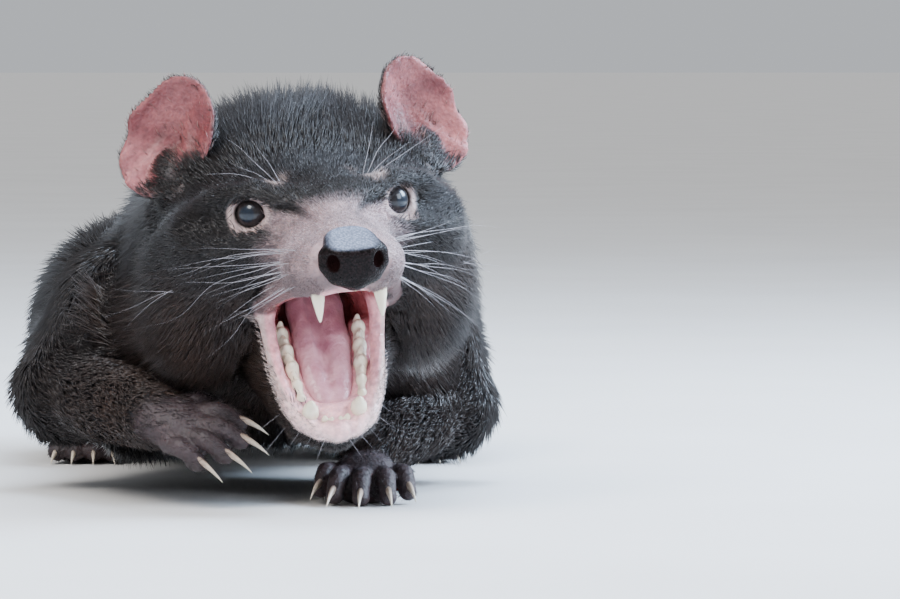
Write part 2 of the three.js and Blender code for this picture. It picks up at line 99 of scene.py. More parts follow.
def eye_frame(side):
    return HEAD.child(turn("Z", side * EYE_TURN), (side * EYE[0], EYE[1], EYE[2]))


def ear_frame(side):
    rotation = turn("Z", side * EAR_TURN) @ turn("Y", side * -10) @ turn("X", -6)
    return HEAD.child(rotation, (side * EAR[0], EAR[1], EAR[2]))


def unit(vectors):
    return vectors / np.maximum(np.linalg.norm(vectors, axis=1)[:, None], 1e-9)


def smooth_min(a, b, k):
    h = np.clip(0.5 + 0.5 * (b - a) / k, 0, 1)
    return b + (a - b) * h - k * h * (1 - h)


def smooth_step(low, high, value):
    t = np.clip((value - low) / (high - low), 0, 1)
    return t * t * (3 - 2 * t)


def bell(*offsets):
    """1 where all the offsets are 0, fading to 0 round that place."""
    return np.exp(-sum(v**2 for v in offsets))


def ellipsoid_distance(q, radii):
    near = np.sqrt(sum((x / r) ** 2 for x, r in zip(q, radii)))
    slope = np.sqrt(sum((x / r**2) ** 2 for x, r in zip(q, radii)))
    return near * (near - 1) / np.maximum(slope, 1e-6)


class Ball:
    """An ellipsoid."""

    def __init__(self, base, centre, radii):
        self.frame = base.child(np.eye(3), centre)
        self.radii = np.array(radii, float) * np.ones(3)

    def box(self):
        half = np.sqrt(((self.frame.rotation * self.radii) ** 2).sum(1))
        return self.frame.origin - half, self.frame.origin + half

    def distance(self, points):
        q = self.frame.into(points)
        return ellipsoid_distance((q[..., 0], q[..., 1], q[..., 2]), self.radii)


class Limb:
    """A chain of elliptical sections: x, y, z, half width, half height."""

    def __init__(self, base, stations):
        rows = np.array([(*s, s[3]) if len(s) == 4 else s for s in stations], float)
        self.points = base.out(rows[:, :3])
        self.wide, self.high = rows[:, 3], rows[:, 4]
        self.up = base.rotation @ np.array([0, 0, 1.0])

    def box(self):
        reach = np.maximum(self.wide, self.high)[:, None]
        return (self.points - reach).min(0), (self.points + reach).max(0)

    def distance(self, points):
        best = None
        for i in range(len(self.points) - 1):
            start = self.points[i]
            along = self.points[i + 1] - start
            t = np.clip(((points - start) @ along) / (along @ along), 0, 1)
            q = points - start - t[..., None] * along
            way = along / np.linalg.norm(along)
            rise = self.up - way * (self.up @ way)
            rise /= np.linalg.norm(rise)
            wide = self.wide[i] + (self.wide[i + 1] - self.wide[i]) * t
            high = self.high[i] + (self.high[i + 1] - self.high[i]) * t
            local = (q @ np.cross(way, rise), q @ rise, q @ way)
            d = ellipsoid_distance(local, (wide, high, np.minimum(wide, high)))
            best = d if best is None else np.minimum(best, d)
        return best


class Ear:
    """A cupped shell with its hollow side forward, folded near its foot."""

    THICK = 2.4

    def __init__(self, side):
        self.side = side
        self.frame = ear_frame(side)

    def box(self):
        return self.frame.origin - 32, self.frame.origin + 32

    def local(self, points):
        q = self.frame.into(points)
        z = q[..., 2]
        x = q[..., 0] * self.side + EAR_LEAN * z
        return x, q[..., 1], z

    def fold(self, x, z):
        """Two ridges that run up from the foot of the ear and a hollow between them."""
        low = smooth_step(10, -8, z)
        inner = bell((x + 6 - 0.3 * z) / 2.0)
        outer = bell((x - 3 + 0.35 * z) / 1.7)
        hollow = bell((x + 1.5) / 2.2, (z + 5) / 5)
        return low * (2.2 * inner + 1.5 * outer) - 1.8 * hollow

    def bowl(self, x, z):
        """How far forward or back the middle of the shell is."""
        share = (x / EAR_HALF[0]) ** 2 + (z / EAR_HALF[1]) ** 2
        return 5 - EAR_CUP * share - self.fold(x, z) + 0.35 * np.sin(x * 0.55 + z * 0.3)

    def distance(self, points):
        x, y, z = self.local(points)
        angle = np.arctan2(z / EAR_HALF[1], x / EAR_HALF[0])
        share = np.sqrt((x / EAR_HALF[0]) ** 2 + (z / EAR_HALF[1]) ** 2)
        notch = 0.1 * bell((angle + 0.1) / 0.25) + 0.09 * bell((angle - 0.75) / 0.4)
        steep_x, steep_z = 2 * EAR_CUP * x / EAR_HALF[0] ** 2, 2 * EAR_CUP * z / EAR_HALF[1] ** 2
        slope = np.sqrt(1 + steep_x**2 + steep_z**2)
        shell = np.abs(y - self.bowl(x, z)) / slope - self.THICK / 2
        rim = (share - 1 + notch) * 15
        return -smooth_min(-shell, -rim, 1.4)


# The body plan: (group, shape, blend, adds or cuts)
PLAN = []


def add(group, shape, blend):
    PLAN.append((group, shape, blend, True))


def cut(group, shape, blend):
    PLAN.append((group, shape, blend, False))


BACKBONE = [
    (4, -104, 96, 36, 34), (0, -40, 95, 37, 35), (0, 20, 93, 37, 36), (0, 66, 86, 36, 36),
    (0, 98, 76, 30, 32),
]
RIBS = [
    (2, -104, 59, 58, 36), (0, -40, 57, 64, 37), (0, 20, 58, 64, 38), (0, 66, 60, 60, 39),
    (0, 98, 62, 44, 35),
]


def plan_trunk():
    neck_back = HEAD.out((0, 62, -10))
    throat_top = JAW.out((0, -26, -24))
    add("trunk", Limb(WORLD, BACKBONE), 18)
    add("trunk", Limb(WORLD, RIBS), 18)
    for side in SIDES:
        add("trunk", Ball(WORLD, (side * 44, -104, 50), (28, 44, 34)), 16)
        add("trunk", Ball(WORLD, (side * 54, 64, 50), (26, 42, 39)), 14)
    add("neck", Limb(WORLD, [(*neck_back, 48, 40), (15, -142, 85, 56, 47), (4, -100, 88, 46, 42)]), 14)
    add("neck", Limb(WORLD, [(*throat_top, 26, 22), (6, -150, 58, 44, 34)]), 16)


UPPER_LIP = [
    (0, -41, -24.2, 2.3), (9, -38, -24.2, 2.3), (15, -28.5, -24.6, 2.4),
    (19.5, -15, -26, 2.6), (22, 2, -29.5, 3.0), (22.5, 14, -33, 4.2),
]
LOWER_LIP = [
    (21, -36, 25, 4), (20, -46, 17, 3), (19, -55, 9.5, 2.6), (17.8, -65, 4.5, 2.6),
    (15.6, -76, 1.5, 2.7), (12, -84.5, 1, 2.8), (6.5, -89.2, 1, 2.8), (0, -90.2, 1, 2.8),
]
UPPER_GUM = [
    (0, -36, -24.6, 3.2), (9, -34, -24.8, 4.2), (13.5, -23.5, -25.2, 3.4), (16.2, -9, -26.8, 3.6),
    (18.5, 6, -28.5, 4.2),
]
LOWER_GUM = [
    (0, -83.5, -2.2, 3.8), (8.4, -82, -1.6, 4.4), (11, -72, -1.2, 4), (13, -58, -0.8, 4.2),
    (14.2, -45, 0, 4.4),
]
MUZZLE = [
    (0, 8, -14, 25, 16), (0, -14, -15.5, 20, 13.5), (0, -30, -16.9, 17, 10.8), (0, -35, -17.2, 15, 9.6),
]
BRIDGE = [(0, 10, -2, 10), (0, -29.5, -11, 5.4)]
BROW = [(12, -4, 2, 4), (24, 0, 6.5, 4.5), (35, 10, 3, 5)]
EAR_FOOT = [(33, 44, 4, 11), (44, 48, 14, 9)]
PALATE = [(0, -31, -37.2, 11, 9), (0, -14, -40.8, 15, 12), (0, 12, -45, 17, 16), (0, 40, -40, 14, 12)]
JAW_BONE = [
    (33, -2, -4, 10, 16), (22, -35, -9, 7, 13), (15, -62, -8, 5.5, 10), (10.5, -77, -5, 5.5, 8),
    (0, -83, -5, 6, 8),
]
MOUTH_CORNER = [(21, -38, 20, 4.5, 8), (26, -22, 14, 8, 20)]
CHIN = [(0, -20, -22, 25, 14), (0, -50, -17, 17, 10), (0, -75, -11, 11, 6)]


def on_side(stations, side):
    return [(side * s[0], *s[1:]) for s in stations]


def plan_head():
    add("head", Ball(HEAD, (0, 46, -4), (40, 42, 24)), 8)
    add("head", Ball(HEAD, (0, 12, 0), (24, 28, 10)), 8)
    for side in SIDES:
        add("head", Ball(HEAD, (side * 24, 52, 3), (20, 26, 18)), 8)
        add("head", Ball(HEAD, (side * 31, 28, -12), (22, 32, 21)), 10)
        add("head", Ball(HEAD, (side * 33, 46, -30), (20.5, 27, 25)), 12)
        add("head", Ball(HEAD, (side * 21, 7, -13), (12, 16, 11)), 8)
    add("head", Limb(HEAD, MUZZLE), 6)
    add("head", Limb(HEAD, BRIDGE), 8)
    for side in SIDES:
        add("head", Ball(HEAD, (side * 11.5, -27, -19.2), (9.5, 16, 9)), 5)
        add("head", Limb(HEAD, on_side(BROW, side)), 8)
        add("head", Limb(HEAD, on_side(EAR_FOOT, side)), 8)
    cut("mouth", Limb(HEAD, PALATE), 4)
    for side in SIDES:
        add("mouth", Limb(HEAD, on_side(UPPER_GUM, side)), 2)
        add("lip", Limb(HEAD, on_side(UPPER_LIP, side)), 4)
        plan_lids(side)


def plan_lids(side):
    """Two lids over a slot in the socket, with a valley on its outer side and a furrow in front of it."""
    eye = eye_frame(side)
    cut("head", Limb(eye, [(side * 9, -13.2, 0.3, 8.5, 8), (side * 24, -14.5, -1, 8.5, 8)]), 4)
    add("head", Ball(eye, (0, 0.2, 0), EYE_RADIUS + 1.0), 2.5)
    for height, lift in ((5.0, 0.8), (-4.8, 0.75)):
        lid = [(6.0 * x, -5.2 + 2.1 * x**2, height * (1 - x**2) + 0.2, lift) for x in np.linspace(-1, 1, 7)]
        add("lid", Limb(eye, lid), 1.0)
    opening = [(0, 0, 0.1, 5.4, 4.3), (0, -5.4, 0.1, 5.7, 4.6), (0, -10, 0.2, 9, 7), (0, -16, 0.3, 12, 9)]
    cut("lid", Limb(eye, opening), 0.6)
    corner = [(-side * 2, -2, -0.6, 2, 1.8), (-side * 6.6, -6.0, -1.4, 0.7, 0.6)]
    cut("lid", Limb(eye, corner), 0.6)
    furrow = [(18, -8, 1.6, 0.6), (14.2, -11.8, 0.8, 1.5), (10.7, -15.5, -1, 1.3), (8, -26, -3.4, 0.5)]
    cut("head", Limb(HEAD, on_side(furrow, side)), 1.6)


def plan_jaw():
    for side in SIDES:
        add("jaw", Limb(JAW, on_side(JAW_BONE, side)), 5)
        add("lip", Limb(JAW, on_side(LOWER_LIP, side)), 3)
        add("jaw", Limb(JAW, on_side(MOUTH_CORNER, side)), 8)
        add("mouth", Limb(JAW, on_side(LOWER_GUM, side)), 2)
    add("jaw", Limb(JAW, CHIN), 8)


ARMS = {
    1: {"shoulder": (50, -108, 70), "elbow": (70, -98, 31), "wrist": (42, -168, 20)},
    -1: {"shoulder": (-47, -110, 62), "elbow": (-69, -122, 38), "wrist": (-38, -199, 32)},
}
PLANTED_PAW = WORLD.child(turn("Z", -4) @ turn("X", 4), (40, -178, 11.6))
RAISED_PAW = WORLD.child(turn("Z", 58) @ turn("Y", -42) @ turn("X", 6), (-34.8, -206, 30.9))
PAWS = {
    1: {"base": PLANTED_PAW, "spread": 1, "curl": 18, "claw_lift": 22},
    -1: {"base": RAISED_PAW, "spread": 0.82, "curl": 16, "claw_lift": 0},
}
FORE_TOES = [(-13, -7, 10), (-8.2, -16, 12.5), (-0.5, -19, 13.5), (7.2, -17, 13), (13, -10.5, 11)]
HIND_TOES = (-9, -3, 3, 9)
PALM = [(0, 2, 1, 9, 7.4), (0, -8, -1, 11.6, 7.4), (0, -15, -4.2, 11.8, 7)]


def fore_toes(side):
    paw = PAWS[side]
    for across, y, length in FORE_TOES:
        x = across * side * paw["spread"]
        yield paw["base"].child(turn("Z", x * 1.3) @ turn("X", paw["curl"]), (x, y, -1)), length


def hind_toes(side):
    for x in HIND_TOES:
        yield WORLD.child(turn("Z", side * 3 + x * 1.2), (side * 67 + x, 14, 5)), 12 - abs(x) / 3


def plan_legs():
    for side in SIDES:
        arm = ARMS[side]
        middle = tuple((np.array(arm["elbow"]) + arm["wrist"]) / 2)
        name = "arm" + str(side)
        add(name, Limb(WORLD, [(*arm["shoulder"], 26), (*arm["elbow"], 16.5)]), 12)
        add(name, Limb(WORLD, [(*arm["elbow"], 15), (*middle, 12.5), (*arm["wrist"], 9.5)]), 8)
        add("paw", Limb(PAWS[side]["base"], PALM), 5)
        for toe, length in fore_toes(side):
            root, knuckle = (0, 2, 0, 3.4), (0, -length * 0.3, 2.0, 3.6)
            joint, tip = (0, -length * 0.62, 1.3, 3.3), (0, -length, -1.4, 2.9)
            add("paw", Limb(toe, [root, knuckle, joint, tip]), 1.2)
            add("paw", Ball(toe, (0, -length * 0.85, -2.4), (3, 3.8, 2)), 1.5)
        hip, knee, heel = (side * 56, 56, 53), (side * 67, 10, 40), (side * 62, 80, 16)
        name = "leg" + str(side)
        add(name, Limb(WORLD, [(*hip, 28), (*knee, 18)]), 12)
        add(name, Limb(WORLD, [(*knee, 17), (*heel, 10)]), 8)
        sole = [(side * 62, 82, 9, 9, 9), (side * 65, 42, 7, 11, 7.5), (side * 67, 18, 6.5, 12.5, 7)]
        add("foot", Limb(WORLD, sole), 5)
        for toe, length in hind_toes(side):
            add("foot", Limb(toe, [(0, 4, 0, 4.4), (0, -length * 0.5, 1, 4.2), (0, -length, 0.2, 3.9)]), 2)
        add("ear", Ear(side), 3)


TAIL = [
    (0, 112, 58, 27), (2, 158, 33, 18), (7, 192, 24, 15), (13, 224, 16, 12.5), (24, 262, 13, 10.5),
    (40, 300, 11, 8.5), (60, 338, 8, 5), (65, 348, 7.5, 2),
]

plan_trunk()
plan_head()
plan_jaw()
add("tail", Limb(WORLD, TAIL), 10)
plan_legs()

FAR = 30.0  # the distance given where no shape is near
REACH = 16.0


def combine(d, own, blend, adds):
    return smooth_min(d, own, blend) if adds else -smooth_min(-d, own, blend)


def plan_distance(points, parts=None):
    """The distance from each point to the body's surface, negative inside."""
    d = np.full(len(points), FAR)
    for _, shape, blend, adds in parts or PLAN:
        low, high = shape.box()
        reach = min(REACH, blend + 4)
        near = np.flatnonzero(((points > low - reach) & (points < high + reach)).all(1))
        if len(near):
            own = shape.distance(points[near])
            d[near] = combine(d[near], own, blend, adds)
    return d


def plan_slope(points, parts=None):
    """The distance and its gradient, by four samples at the corners of a tetrahedron."""
    reach = 0.2
    corners = np.array([(1, 1, 1), (1, -1, -1), (-1, 1, -1), (-1, -1, 1)], float)
    values = [plan_distance(points + c * reach, parts) for c in corners]
    gradient = sum(v[:, None] * c for v, c in zip(values, corners)) / (4 * reach)
    return sum(values) / 4, gradient


def grid_distance(low, high, step, parts=None):
    """The same distance on a grid of points, and the grid's low corner."""
    low = np.array(low, float)
    count = np.ceil((np.array(high) - low) / step).astype(int) + 1
    axes = [(low[i] + step * np.arange(count[i])).astype(np.float32) for i in range(3)]
    field = np.full(count, FAR, np.float32)
    for _, shape, blend, adds in parts or PLAN:
        a, b = shape.box()
        reach = min(REACH, blend + 4)
        first = np.clip(np.floor((a - reach - low) / step).astype(int), 0, count)
        last = np.clip(np.ceil((b + reach - low) / step).astype(int) + 1, 0, count)
        if (last <= first).any():
            continue
        window = tuple(slice(i, j) for i, j in zip(first, last))
        points = np.stack(np.meshgrid(*(axes[i][window[i]] for i in range(3)), indexing="ij"), -1)
        own = shape.distance(points)
        field[window] = combine(field[window], own, blend, adds)
    return field, low


def surface(field, low, step):
    """The zero level as vertices and quads, one vertex in each cell that it crosses."""
    inside = field < 0
    n = np.array(field.shape) - 1
    corners = [(i, j, k) for i in (0, 1) for j in (0, 1) for k in (0, 1)]
    count = sum(inside[i : n[0] + i, j : n[1] + j, k : n[2] + k].astype(np.uint8) for i, j, k in corners)
    active = (count > 0) & (count < 8)
    cells = np.argwhere(active)
    index = np.full(n, -1, np.int32)
    index[active] = np.arange(len(cells))
    value = np.stack([field[cells[:, 0] + i, cells[:, 1] + j, cells[:, 2] + k] for i, j, k in corners], 1)
    total = np.zeros((len(cells), 3))
    crossings = np.zeros(len(cells))
    for a, corner_a in enumerate(corners):
        for b, corner_b in enumerate(corners):
            way = np.array(corner_b) - corner_a
            if a < b and abs(way).sum() == 1:
                crosses = (value[:, a] < 0) != (value[:, b] < 0)
                t = value[:, a] / np.where(crosses, value[:, a] - value[:, b], 1)
                total[crosses] += (np.array(corner_a) + t[:, None] * way)[crosses]
                crossings += crosses
    vertices = low + (cells + total / crossings[:, None]) * step
    quads = []
    for axis in range(3):
        one, two = [d for d in range(3) if d != axis]
        before = [slice(None)] * 3
        after = [slice(None)] * 3
        before[axis] = slice(0, -1)
        after[axis] = slice(1, None)
        first, second = inside[tuple(before)], inside[tuple(after)]
        edges = np.argwhere(first != second)
        a, b = edges[:, one], edges[:, two]
        edges = edges[(a > 0) & (b > 0) & (a < n[one]) & (b < n[two])]
        around = []
        for step_one, step_two in ((-1, -1), (0, -1), (0, 0), (-1, 0)):
            cell = edges.copy()
            cell[:, one] += step_one
            cell[:, two] += step_two
            around.append(index[tuple(cell.T)])
        around = np.stack(around, 1)
        flip = first[tuple(edges.T)] == (axis != 1)
        quads.append(np.where(flip[:, None], around, around[:, ::-1]))
    return vertices, np.concatenate(quads)


# Blender pieces
low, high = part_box("eye_left")
SHIFT = np.array((low + high) / 2) * 1000 - HEAD.out(EYE)
SHIFT[2] = 0


def to_scene(points):
    return (np.asarray(points) + SHIFT) * 0.001


def place_object(name, data):
    made = bpy.data.objects.new(name, data)
    bpy.context.scene.collection.objects.link(made)
    return made


def mesh_piece(name, vertices, groups, material):
    """A piece from points in millimetres and groups of faces, each an array of triangles or of quads."""
    mesh = bpy.data.meshes.new(name)
    mesh.vertices.add(len(vertices))
    mesh.vertices.foreach_set("co", to_scene(vertices).astype(np.float32).ravel())
    corners = np.concatenate([g.ravel() for g in groups]).astype(np.int32)
    sizes = np.concatenate([np.full(len(g), g.shape[1]) for g in groups])
    starts = np.concatenate([[0], np.cumsum(sizes)[:-1]]).astype(np.int32)
    mesh.loops.add(len(corners))
    mesh.loops.foreach_set("vertex_index", corners)
    mesh.polygons.add(len(sizes))
    mesh.polygons.foreach_set("loop_start", starts)
    mesh.polygons.foreach_set("use_smooth", np.full(len(sizes), True))
    mesh.update(calc_edges=True)
    mesh.materials.append(material)
    piece = place_object(name, mesh)
    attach(piece, "root")
    return piece


def read_points(mesh):
    co = np.empty(len(mesh.vertices) * 3, np.float32)
    mesh.vertices.foreach_get("co", co)
    return co.reshape(-1, 3).astype(float) * 1000 - SHIFT


def paint(mesh, name, values):
    """A colour (rows of 3) or a number for each vertex."""
    if values.ndim == 2:
        layer = mesh.attributes.new(name, "FLOAT_COLOR", "POINT")
        rgba = np.ones((len(values), 4), np.float32)
        rgba[:, :3] = values
        layer.data.foreach_set("color", rgba.ravel())
    else:
        layer = mesh.attributes.new(name, "FLOAT", "POINT")
        layer.data.foreach_set("value", values.astype(np.float32))


# Materials
def new_material(name, **uniform):
    """A material, its tree and its shader; uniform gives values of shader inputs, with _ for a space."""
    material = bpy.data.materials.new(name)
    material.use_nodes = True
    shader = material.node_tree.nodes["Principled BSDF"]
    for key, value in uniform.items():
        shader.inputs[key.replace("_", " ")].default_value = value
    return material, material.node_tree, shader


def node(tree, kind, **settings):
    made = tree.nodes.new(kind)
    for key, value in settings.items():
        if hasattr(made, key):
            setattr(made, key, value)
        else:
            made.inputs[key].default_value = value
    return made


def attribute(tree, name, output="Fac"):
    return node(tree, "ShaderNodeAttribute", attribute_name=name).outputs[output]


def texture(tree, kind, output, **settings):
    made = node(tree, kind, **settings)
    tree.links.new(node(tree, "ShaderNodeTexCoord").outputs["Object"], made.inputs["Vector"])
    return made.outputs[output]


def noise(tree, scale, detail):
    return texture(tree, "ShaderNodeTexNoise", "Fac", Scale=scale, Detail=detail)


def voronoi(tree, scale):
    return texture(tree, "ShaderNodeTexVoronoi", "Distance", Scale=scale)


def feed(tree, value, socket):
    """Gives a socket a number, a colour or another node's output."""
    if isinstance(value, (int, float)):
        socket.default_value = value
    elif isinstance(value, tuple):
        socket.default_value = (*value, 1)
    else:
        tree.links.new(value, socket)


def math_node(tree, operation, *values):
    made = node(tree, "ShaderNodeMath", operation=operation)
    for socket, value in zip(made.inputs, values):
        feed(tree, value, socket)
    return made.outputs[0]


def ramp(tree, factor, stops):
    made = node(tree, "ShaderNodeValToRGB")
    tree.links.new(factor, made.inputs["Fac"])
    elements = made.color_ramp.elements
    while len(elements) < len(stops):
        elements.new(0.5)
    for element, (position, colour) in zip(elements, stops):
        element.position = position
        element.color = (*colour, 1)
    return made.outputs["Color"]


def mix(tree, factor, a, b, blend="MIX"):
    made = node(tree, "ShaderNodeMix", data_type="RGBA", blend_type=blend)
    for value, socket in ((factor, 0), (a, 6), (b, 7)):
        feed(tree, value, made.inputs[socket])
    return made.outputs[2]


def bump(tree, shader, height, distance, strength=1.0):
    made = node(tree, "ShaderNodeBump", Strength=strength, Distance=distance)
    tree.links.new(height, made.inputs["Height"])
    tree.links.new(made.outputs["Normal"], shader.inputs["Normal"])


def tinted(tree, shader, base, grain, stops):
    """The base colour, times a grain between two shades."""
    tree.links.new(mix(tree, 1.0, base, ramp(tree, grain, stops), "MULTIPLY"), shader.inputs["Base Color"])


def skin_material():
    radius = (0.004, 0.0015, 0.0008)
    material, tree, shader = new_material(
        "skin", Subsurface_Weight=0.12, Subsurface_Radius=radius, Subsurface_Scale=0.6
    )
    mottle = [(0.32, (0.74, 0.7, 0.72)), (0.68, (1.24, 1.2, 1.19))]
    tinted(tree, shader, attribute(tree, "tint", "Color"), noise(tree, 380, 6), mottle)
    dull = math_node(tree, "MULTIPLY_ADD", attribute(tree, "wet"), -0.38, 0.62)
    tree.links.new(dull, shader.inputs["Roughness"])
    pores = math_node(tree, "ADD", noise(tree, 900, 3), voronoi(tree, 700))
    bump(tree, shader, pores, 0.0005, 0.5)
    return material


def coat_material():
    material, tree, shader = new_material("coat", Roughness=0.42, Specular_IOR_Level=0.55)
    streak = [(0.3, (0.75, 0.75, 0.78)), (0.7, (1.35, 1.3, 1.28))]
    tinted(tree, shader, attribute(tree, "tint", "Color"), noise(tree, 420, 2), streak)
    return material


def plain_material(name, colour, dark, roughness, scale, depth, coat=0.0):
    material, tree, shader = new_material(name, Roughness=roughness, Coat_Weight=coat, Coat_Roughness=0.12)
    base = ramp(tree, noise(tree, scale, 4), [(0.32, dark), (0.68, colour)])
    tree.links.new(base, shader.inputs["Base Color"])
    bump(tree, shader, noise(tree, scale * 3, 3), depth, 0.5)
    return material


def nose_material():
    material, tree, shader = new_material("nose_pad", Roughness=0.26)
    cells = voronoi(tree, 1150)
    front = ramp(tree, cells, [(0.2, (0.011, 0.0065, 0.007)), (0.7, (0.003, 0.002, 0.002))])
    # The top cells are a painted bluish reflection of the lights above, on the nose's upward-facing shelf,
    # over its slightly greyer dry skin.
    top = ramp(tree, cells, [(0.2, (0.2, 0.225, 0.3)), (0.7, (0.1, 0.115, 0.16))])
    # Inside the nostrils the colour goes near black and the shine to none: their dark red lining, with
    # painted shade deep in the pits.
    pit = attribute(tree, "pit")
    base = mix(tree, pit, mix(tree, attribute(tree, "top"), front, top), (0.006, 0.0025, 0.0025))
    tree.links.new(base, shader.inputs["Base Color"])
    shine = 0.09
    dulled = math_node(tree, "MULTIPLY_ADD", pit, -shine, shine)
    tree.links.new(dulled, shader.inputs["Specular IOR Level"])
    pebbles = math_node(tree, "MULTIPLY", cells, -1.0)
    bump(tree, shader, pebbles, 0.0005, 0.38)
    return material


def tooth_material():
    radius = (0.002, 0.0015, 0.001)
    material, tree, shader = new_material(
        "tooth", Roughness=0.22, Coat_Weight=0.4, Subsurface_Weight=0.1, Subsurface_Radius=radius
    )
    base = mix(tree, noise(tree, 180, 3), (0.72, 0.63, 0.45), (0.86, 0.8, 0.66))
    base = mix(tree, attribute(tree, "root"), base, (0.5, 0.34, 0.17))
    tree.links.new(base, shader.inputs["Base Color"])
    bump(tree, shader, noise(tree, 500, 2), 0.0002, 0.3)
    return material


def claw_material():
    material, tree, shader = new_material("claw", Roughness=0.32)
    horn = [(0.0, (0.2, 0.13, 0.1)), (0.3, (0.42, 0.32, 0.25)), (0.85, (0.7, 0.62, 0.5))]
    grain = [(0.3, (0.8, 0.8, 0.8)), (0.7, (1.1, 1.1, 1.1))]
    tinted(tree, shader, ramp(tree, attribute(tree, "along"), horn), noise(tree, 900, 2), grain)
    bump(tree, shader, noise(tree, 1400, 2), 0.0002, 0.4)
    return material


def eye_material():
    wet = {"Coat_Weight": 0.55, "Coat_Roughness": 0.03, "Specular_IOR_Level": 0.25}
    material, tree, shader = new_material("eye", Roughness=0.3, Specular_Tint=(0.7, 0.84, 1.0, 1), **wet)
    # The pupil's faint blue is a painted reflection of the bluish lights.
    pupil, iris, edge = (0.005, 0.008, 0.015), (0.015, 0.011, 0.011), (0.004, 0.003, 0.003)
    stops = [(0.12, pupil), (0.15, iris), (0.27, iris), (0.31, edge), (0.5, (0.03, 0.015, 0.012))]
    flecks = [(0.3, (0.6, 0.6, 0.6)), (0.7, (1.3, 1.3, 1.3))]
    tinted(tree, shader, ramp(tree, attribute(tree, "away"), stops), noise(tree, 1500, 3), flecks)
    return material


def floor_material():
    material, tree, shader = new_material("floor", Roughness=0.85)
    base = ramp(tree, noise(tree, 6, 4), [(0.3, (0.62, 0.61, 0.6)), (0.7, (0.66, 0.65, 0.64))])
    tree.links.new(base, shader.inputs["Base Color"])
    return material


SKIN = skin_material()
COAT = coat_material()
NOSE = nose_material()
TOOTH = tooth_material()
CLAW = claw_material()
EYE_LOOK = eye_material()
TONGUE = plain_material("tongue", (0.62, 0.33, 0.38), (0.41, 0.17, 0.22), 0.36, 160, 0.0014, 0.2)
WHISKER = plain_material("whisker", (0.46, 0.44, 0.48), (0.2, 0.19, 0.21), 0.35, 120, 0.0001)


# Markings, shared by the skin and the coat
def wave(points, seed, scale):
    """A smooth mottle between -1 and 1."""
    ways = np.random.default_rng(seed).normal(size=(5, 3)) / scale
    return sum(np.sin(points @ w + i * 1.7) for i, w in enumerate(ways)) / 3


def nearest(shapes, points):
    """The distance from each point to the nearest of a few shapes."""
    return np.min([shape.distance(points) for shape in shapes], axis=0)


def both(base, path):
    return [Limb(base, on_side(path, side)) for side in SIDES]


def group_distances(points, names):
    return {n: nearest([shape for g, shape, _, adds in PLAN if g == n and adds], points) for n in names}


def tree_of(points):
    tree = kdtree.KDTree(len(points))
    for i, point in enumerate(points):
        tree.insert(point, i)
    tree.balance()
    return tree


MOUTH_MIDDLE = HEAD.child(turn("Z", JAW_SWING / 2) @ turn("X", JAW_DROP / 2), CONDYLE)
THROAT = Ball(HEAD, (0, 22, -40), (20, 36, 16))
MOUTH_GAP = [(0, -24, -9, 19, 9), (0, -50, -8, 23, 19), (0, -76, -6, 21, 29), (0, -92, -5, 15, 34)]
MOUTH_SPACE = Limb(MOUTH_MIDDLE, MOUTH_GAP)
EYE_CORNER = [(20, -5, -3.5, 3.4), (15, -12, -6, 5)]
FURROW = [(19, -6, 2.4, 1.6), (14.2, -11, 1.6, 2), (10.7, -15, -0.6, 1.4), (8, -24, -3, 0.6)]
BROW_MARKS = ([(-16.5, -2, 9.4, 2.8), (-11.5, 8, 12.5, 2.6)], [(18, -2.5, 9.4, 2.6), (12.5, 9, 13, 2.6)])
ARM_ZONES = ("arm1", "arm-1")
LEG_ZONES = ("leg1", "leg-1")


def whisker_roots():
    """Four rows of five on each side of the muzzle: side, row, column and place in the head's frame."""
    for side in SIDES:
        for row, z in enumerate((-13, -16.5, -20, -23.5)):
            for column in range(5):
                x = 15.2 + column * 0.7 + (0.8 if row in (1, 2) else 0)
                yield side, row, column, (side * x, -35 + column * 4.4 + row * 0.6, z)


WHISKER_ROOTS = tree_of([HEAD.out(place) for *_, place in whisker_roots()])


def face_masks(points, q):
    """The pale muzzle and the pits of its whiskers, the brow marks, and painted shade on the skin round and
    under the nose pad.
    """
    wavy = 1.8 * wave(points, 31, 4)
    edge = -10.5 - 5 * smooth_step(-3, 4, q[:, 2]) + 7 * smooth_step(-16, -29, q[:, 2]) + wavy
    muzzle = smooth_step(4, -4, q[:, 1] - edge) * smooth_step(-36, -31, q[:, 2])
    muzzle = np.maximum(muzzle, smooth_step(1.6, -1.6, nearest(both(HEAD, EYE_CORNER), points)))
    near = np.flatnonzero(muzzle > 0)
    pit = np.zeros(len(points))
    pit[near] = smooth_step(1.5, 0.5, np.array([WHISKER_ROOTS.find(p)[2] for p in points[near]]))
    brow = nearest([Limb(HEAD, mark) for mark in BROW_MARKS], points) + 0.8 * wave(points, 33, 3)
    # Painted shade: the skin hidden under the nose pad, seen only through its holes, is painted near black.
    nose = np.linalg.norm((q - (0.7, -43, -16.5)) / (12, 9, 10), axis=1)
    return {
        "muzzle": muzzle,
        "pit": pit,
        "brow": smooth_step(2.0, -1.2, brow),
        "nose_hollow_shade": smooth_step(1.0, 0.9, nose),
    }


def eye_masks(points):
    """The pale ring of each eye, the dark rim of its lids, and the furrow that runs from it."""
    ring, rim = np.zeros((2, len(points)))
    for side in SIDES:
        e = eye_frame(side).into(points)
        tall = np.where(e[:, 2] > 0, 5.7, 7.0)
        away = np.hypot((-side * e[:, 0] - 0.9) / 9.6, e[:, 2] / tall)
        ring = np.maximum(ring, smooth_step(1.1, 0.92, away) * (e[:, 1] < 5))
        opening = np.hypot(e[:, 0] / 5.9, (e[:, 2] - 0.1) / 4.8)
        rim = np.maximum(rim, smooth_step(1.12, 0.96, opening) * (e[:, 1] < 2))
    furrow = smooth_step(1.4, -0.8, nearest(both(HEAD, FURROW), points)) * (1 - ring)
    return {"lid": ring, "lid_rim": rim, "furrow": furrow}


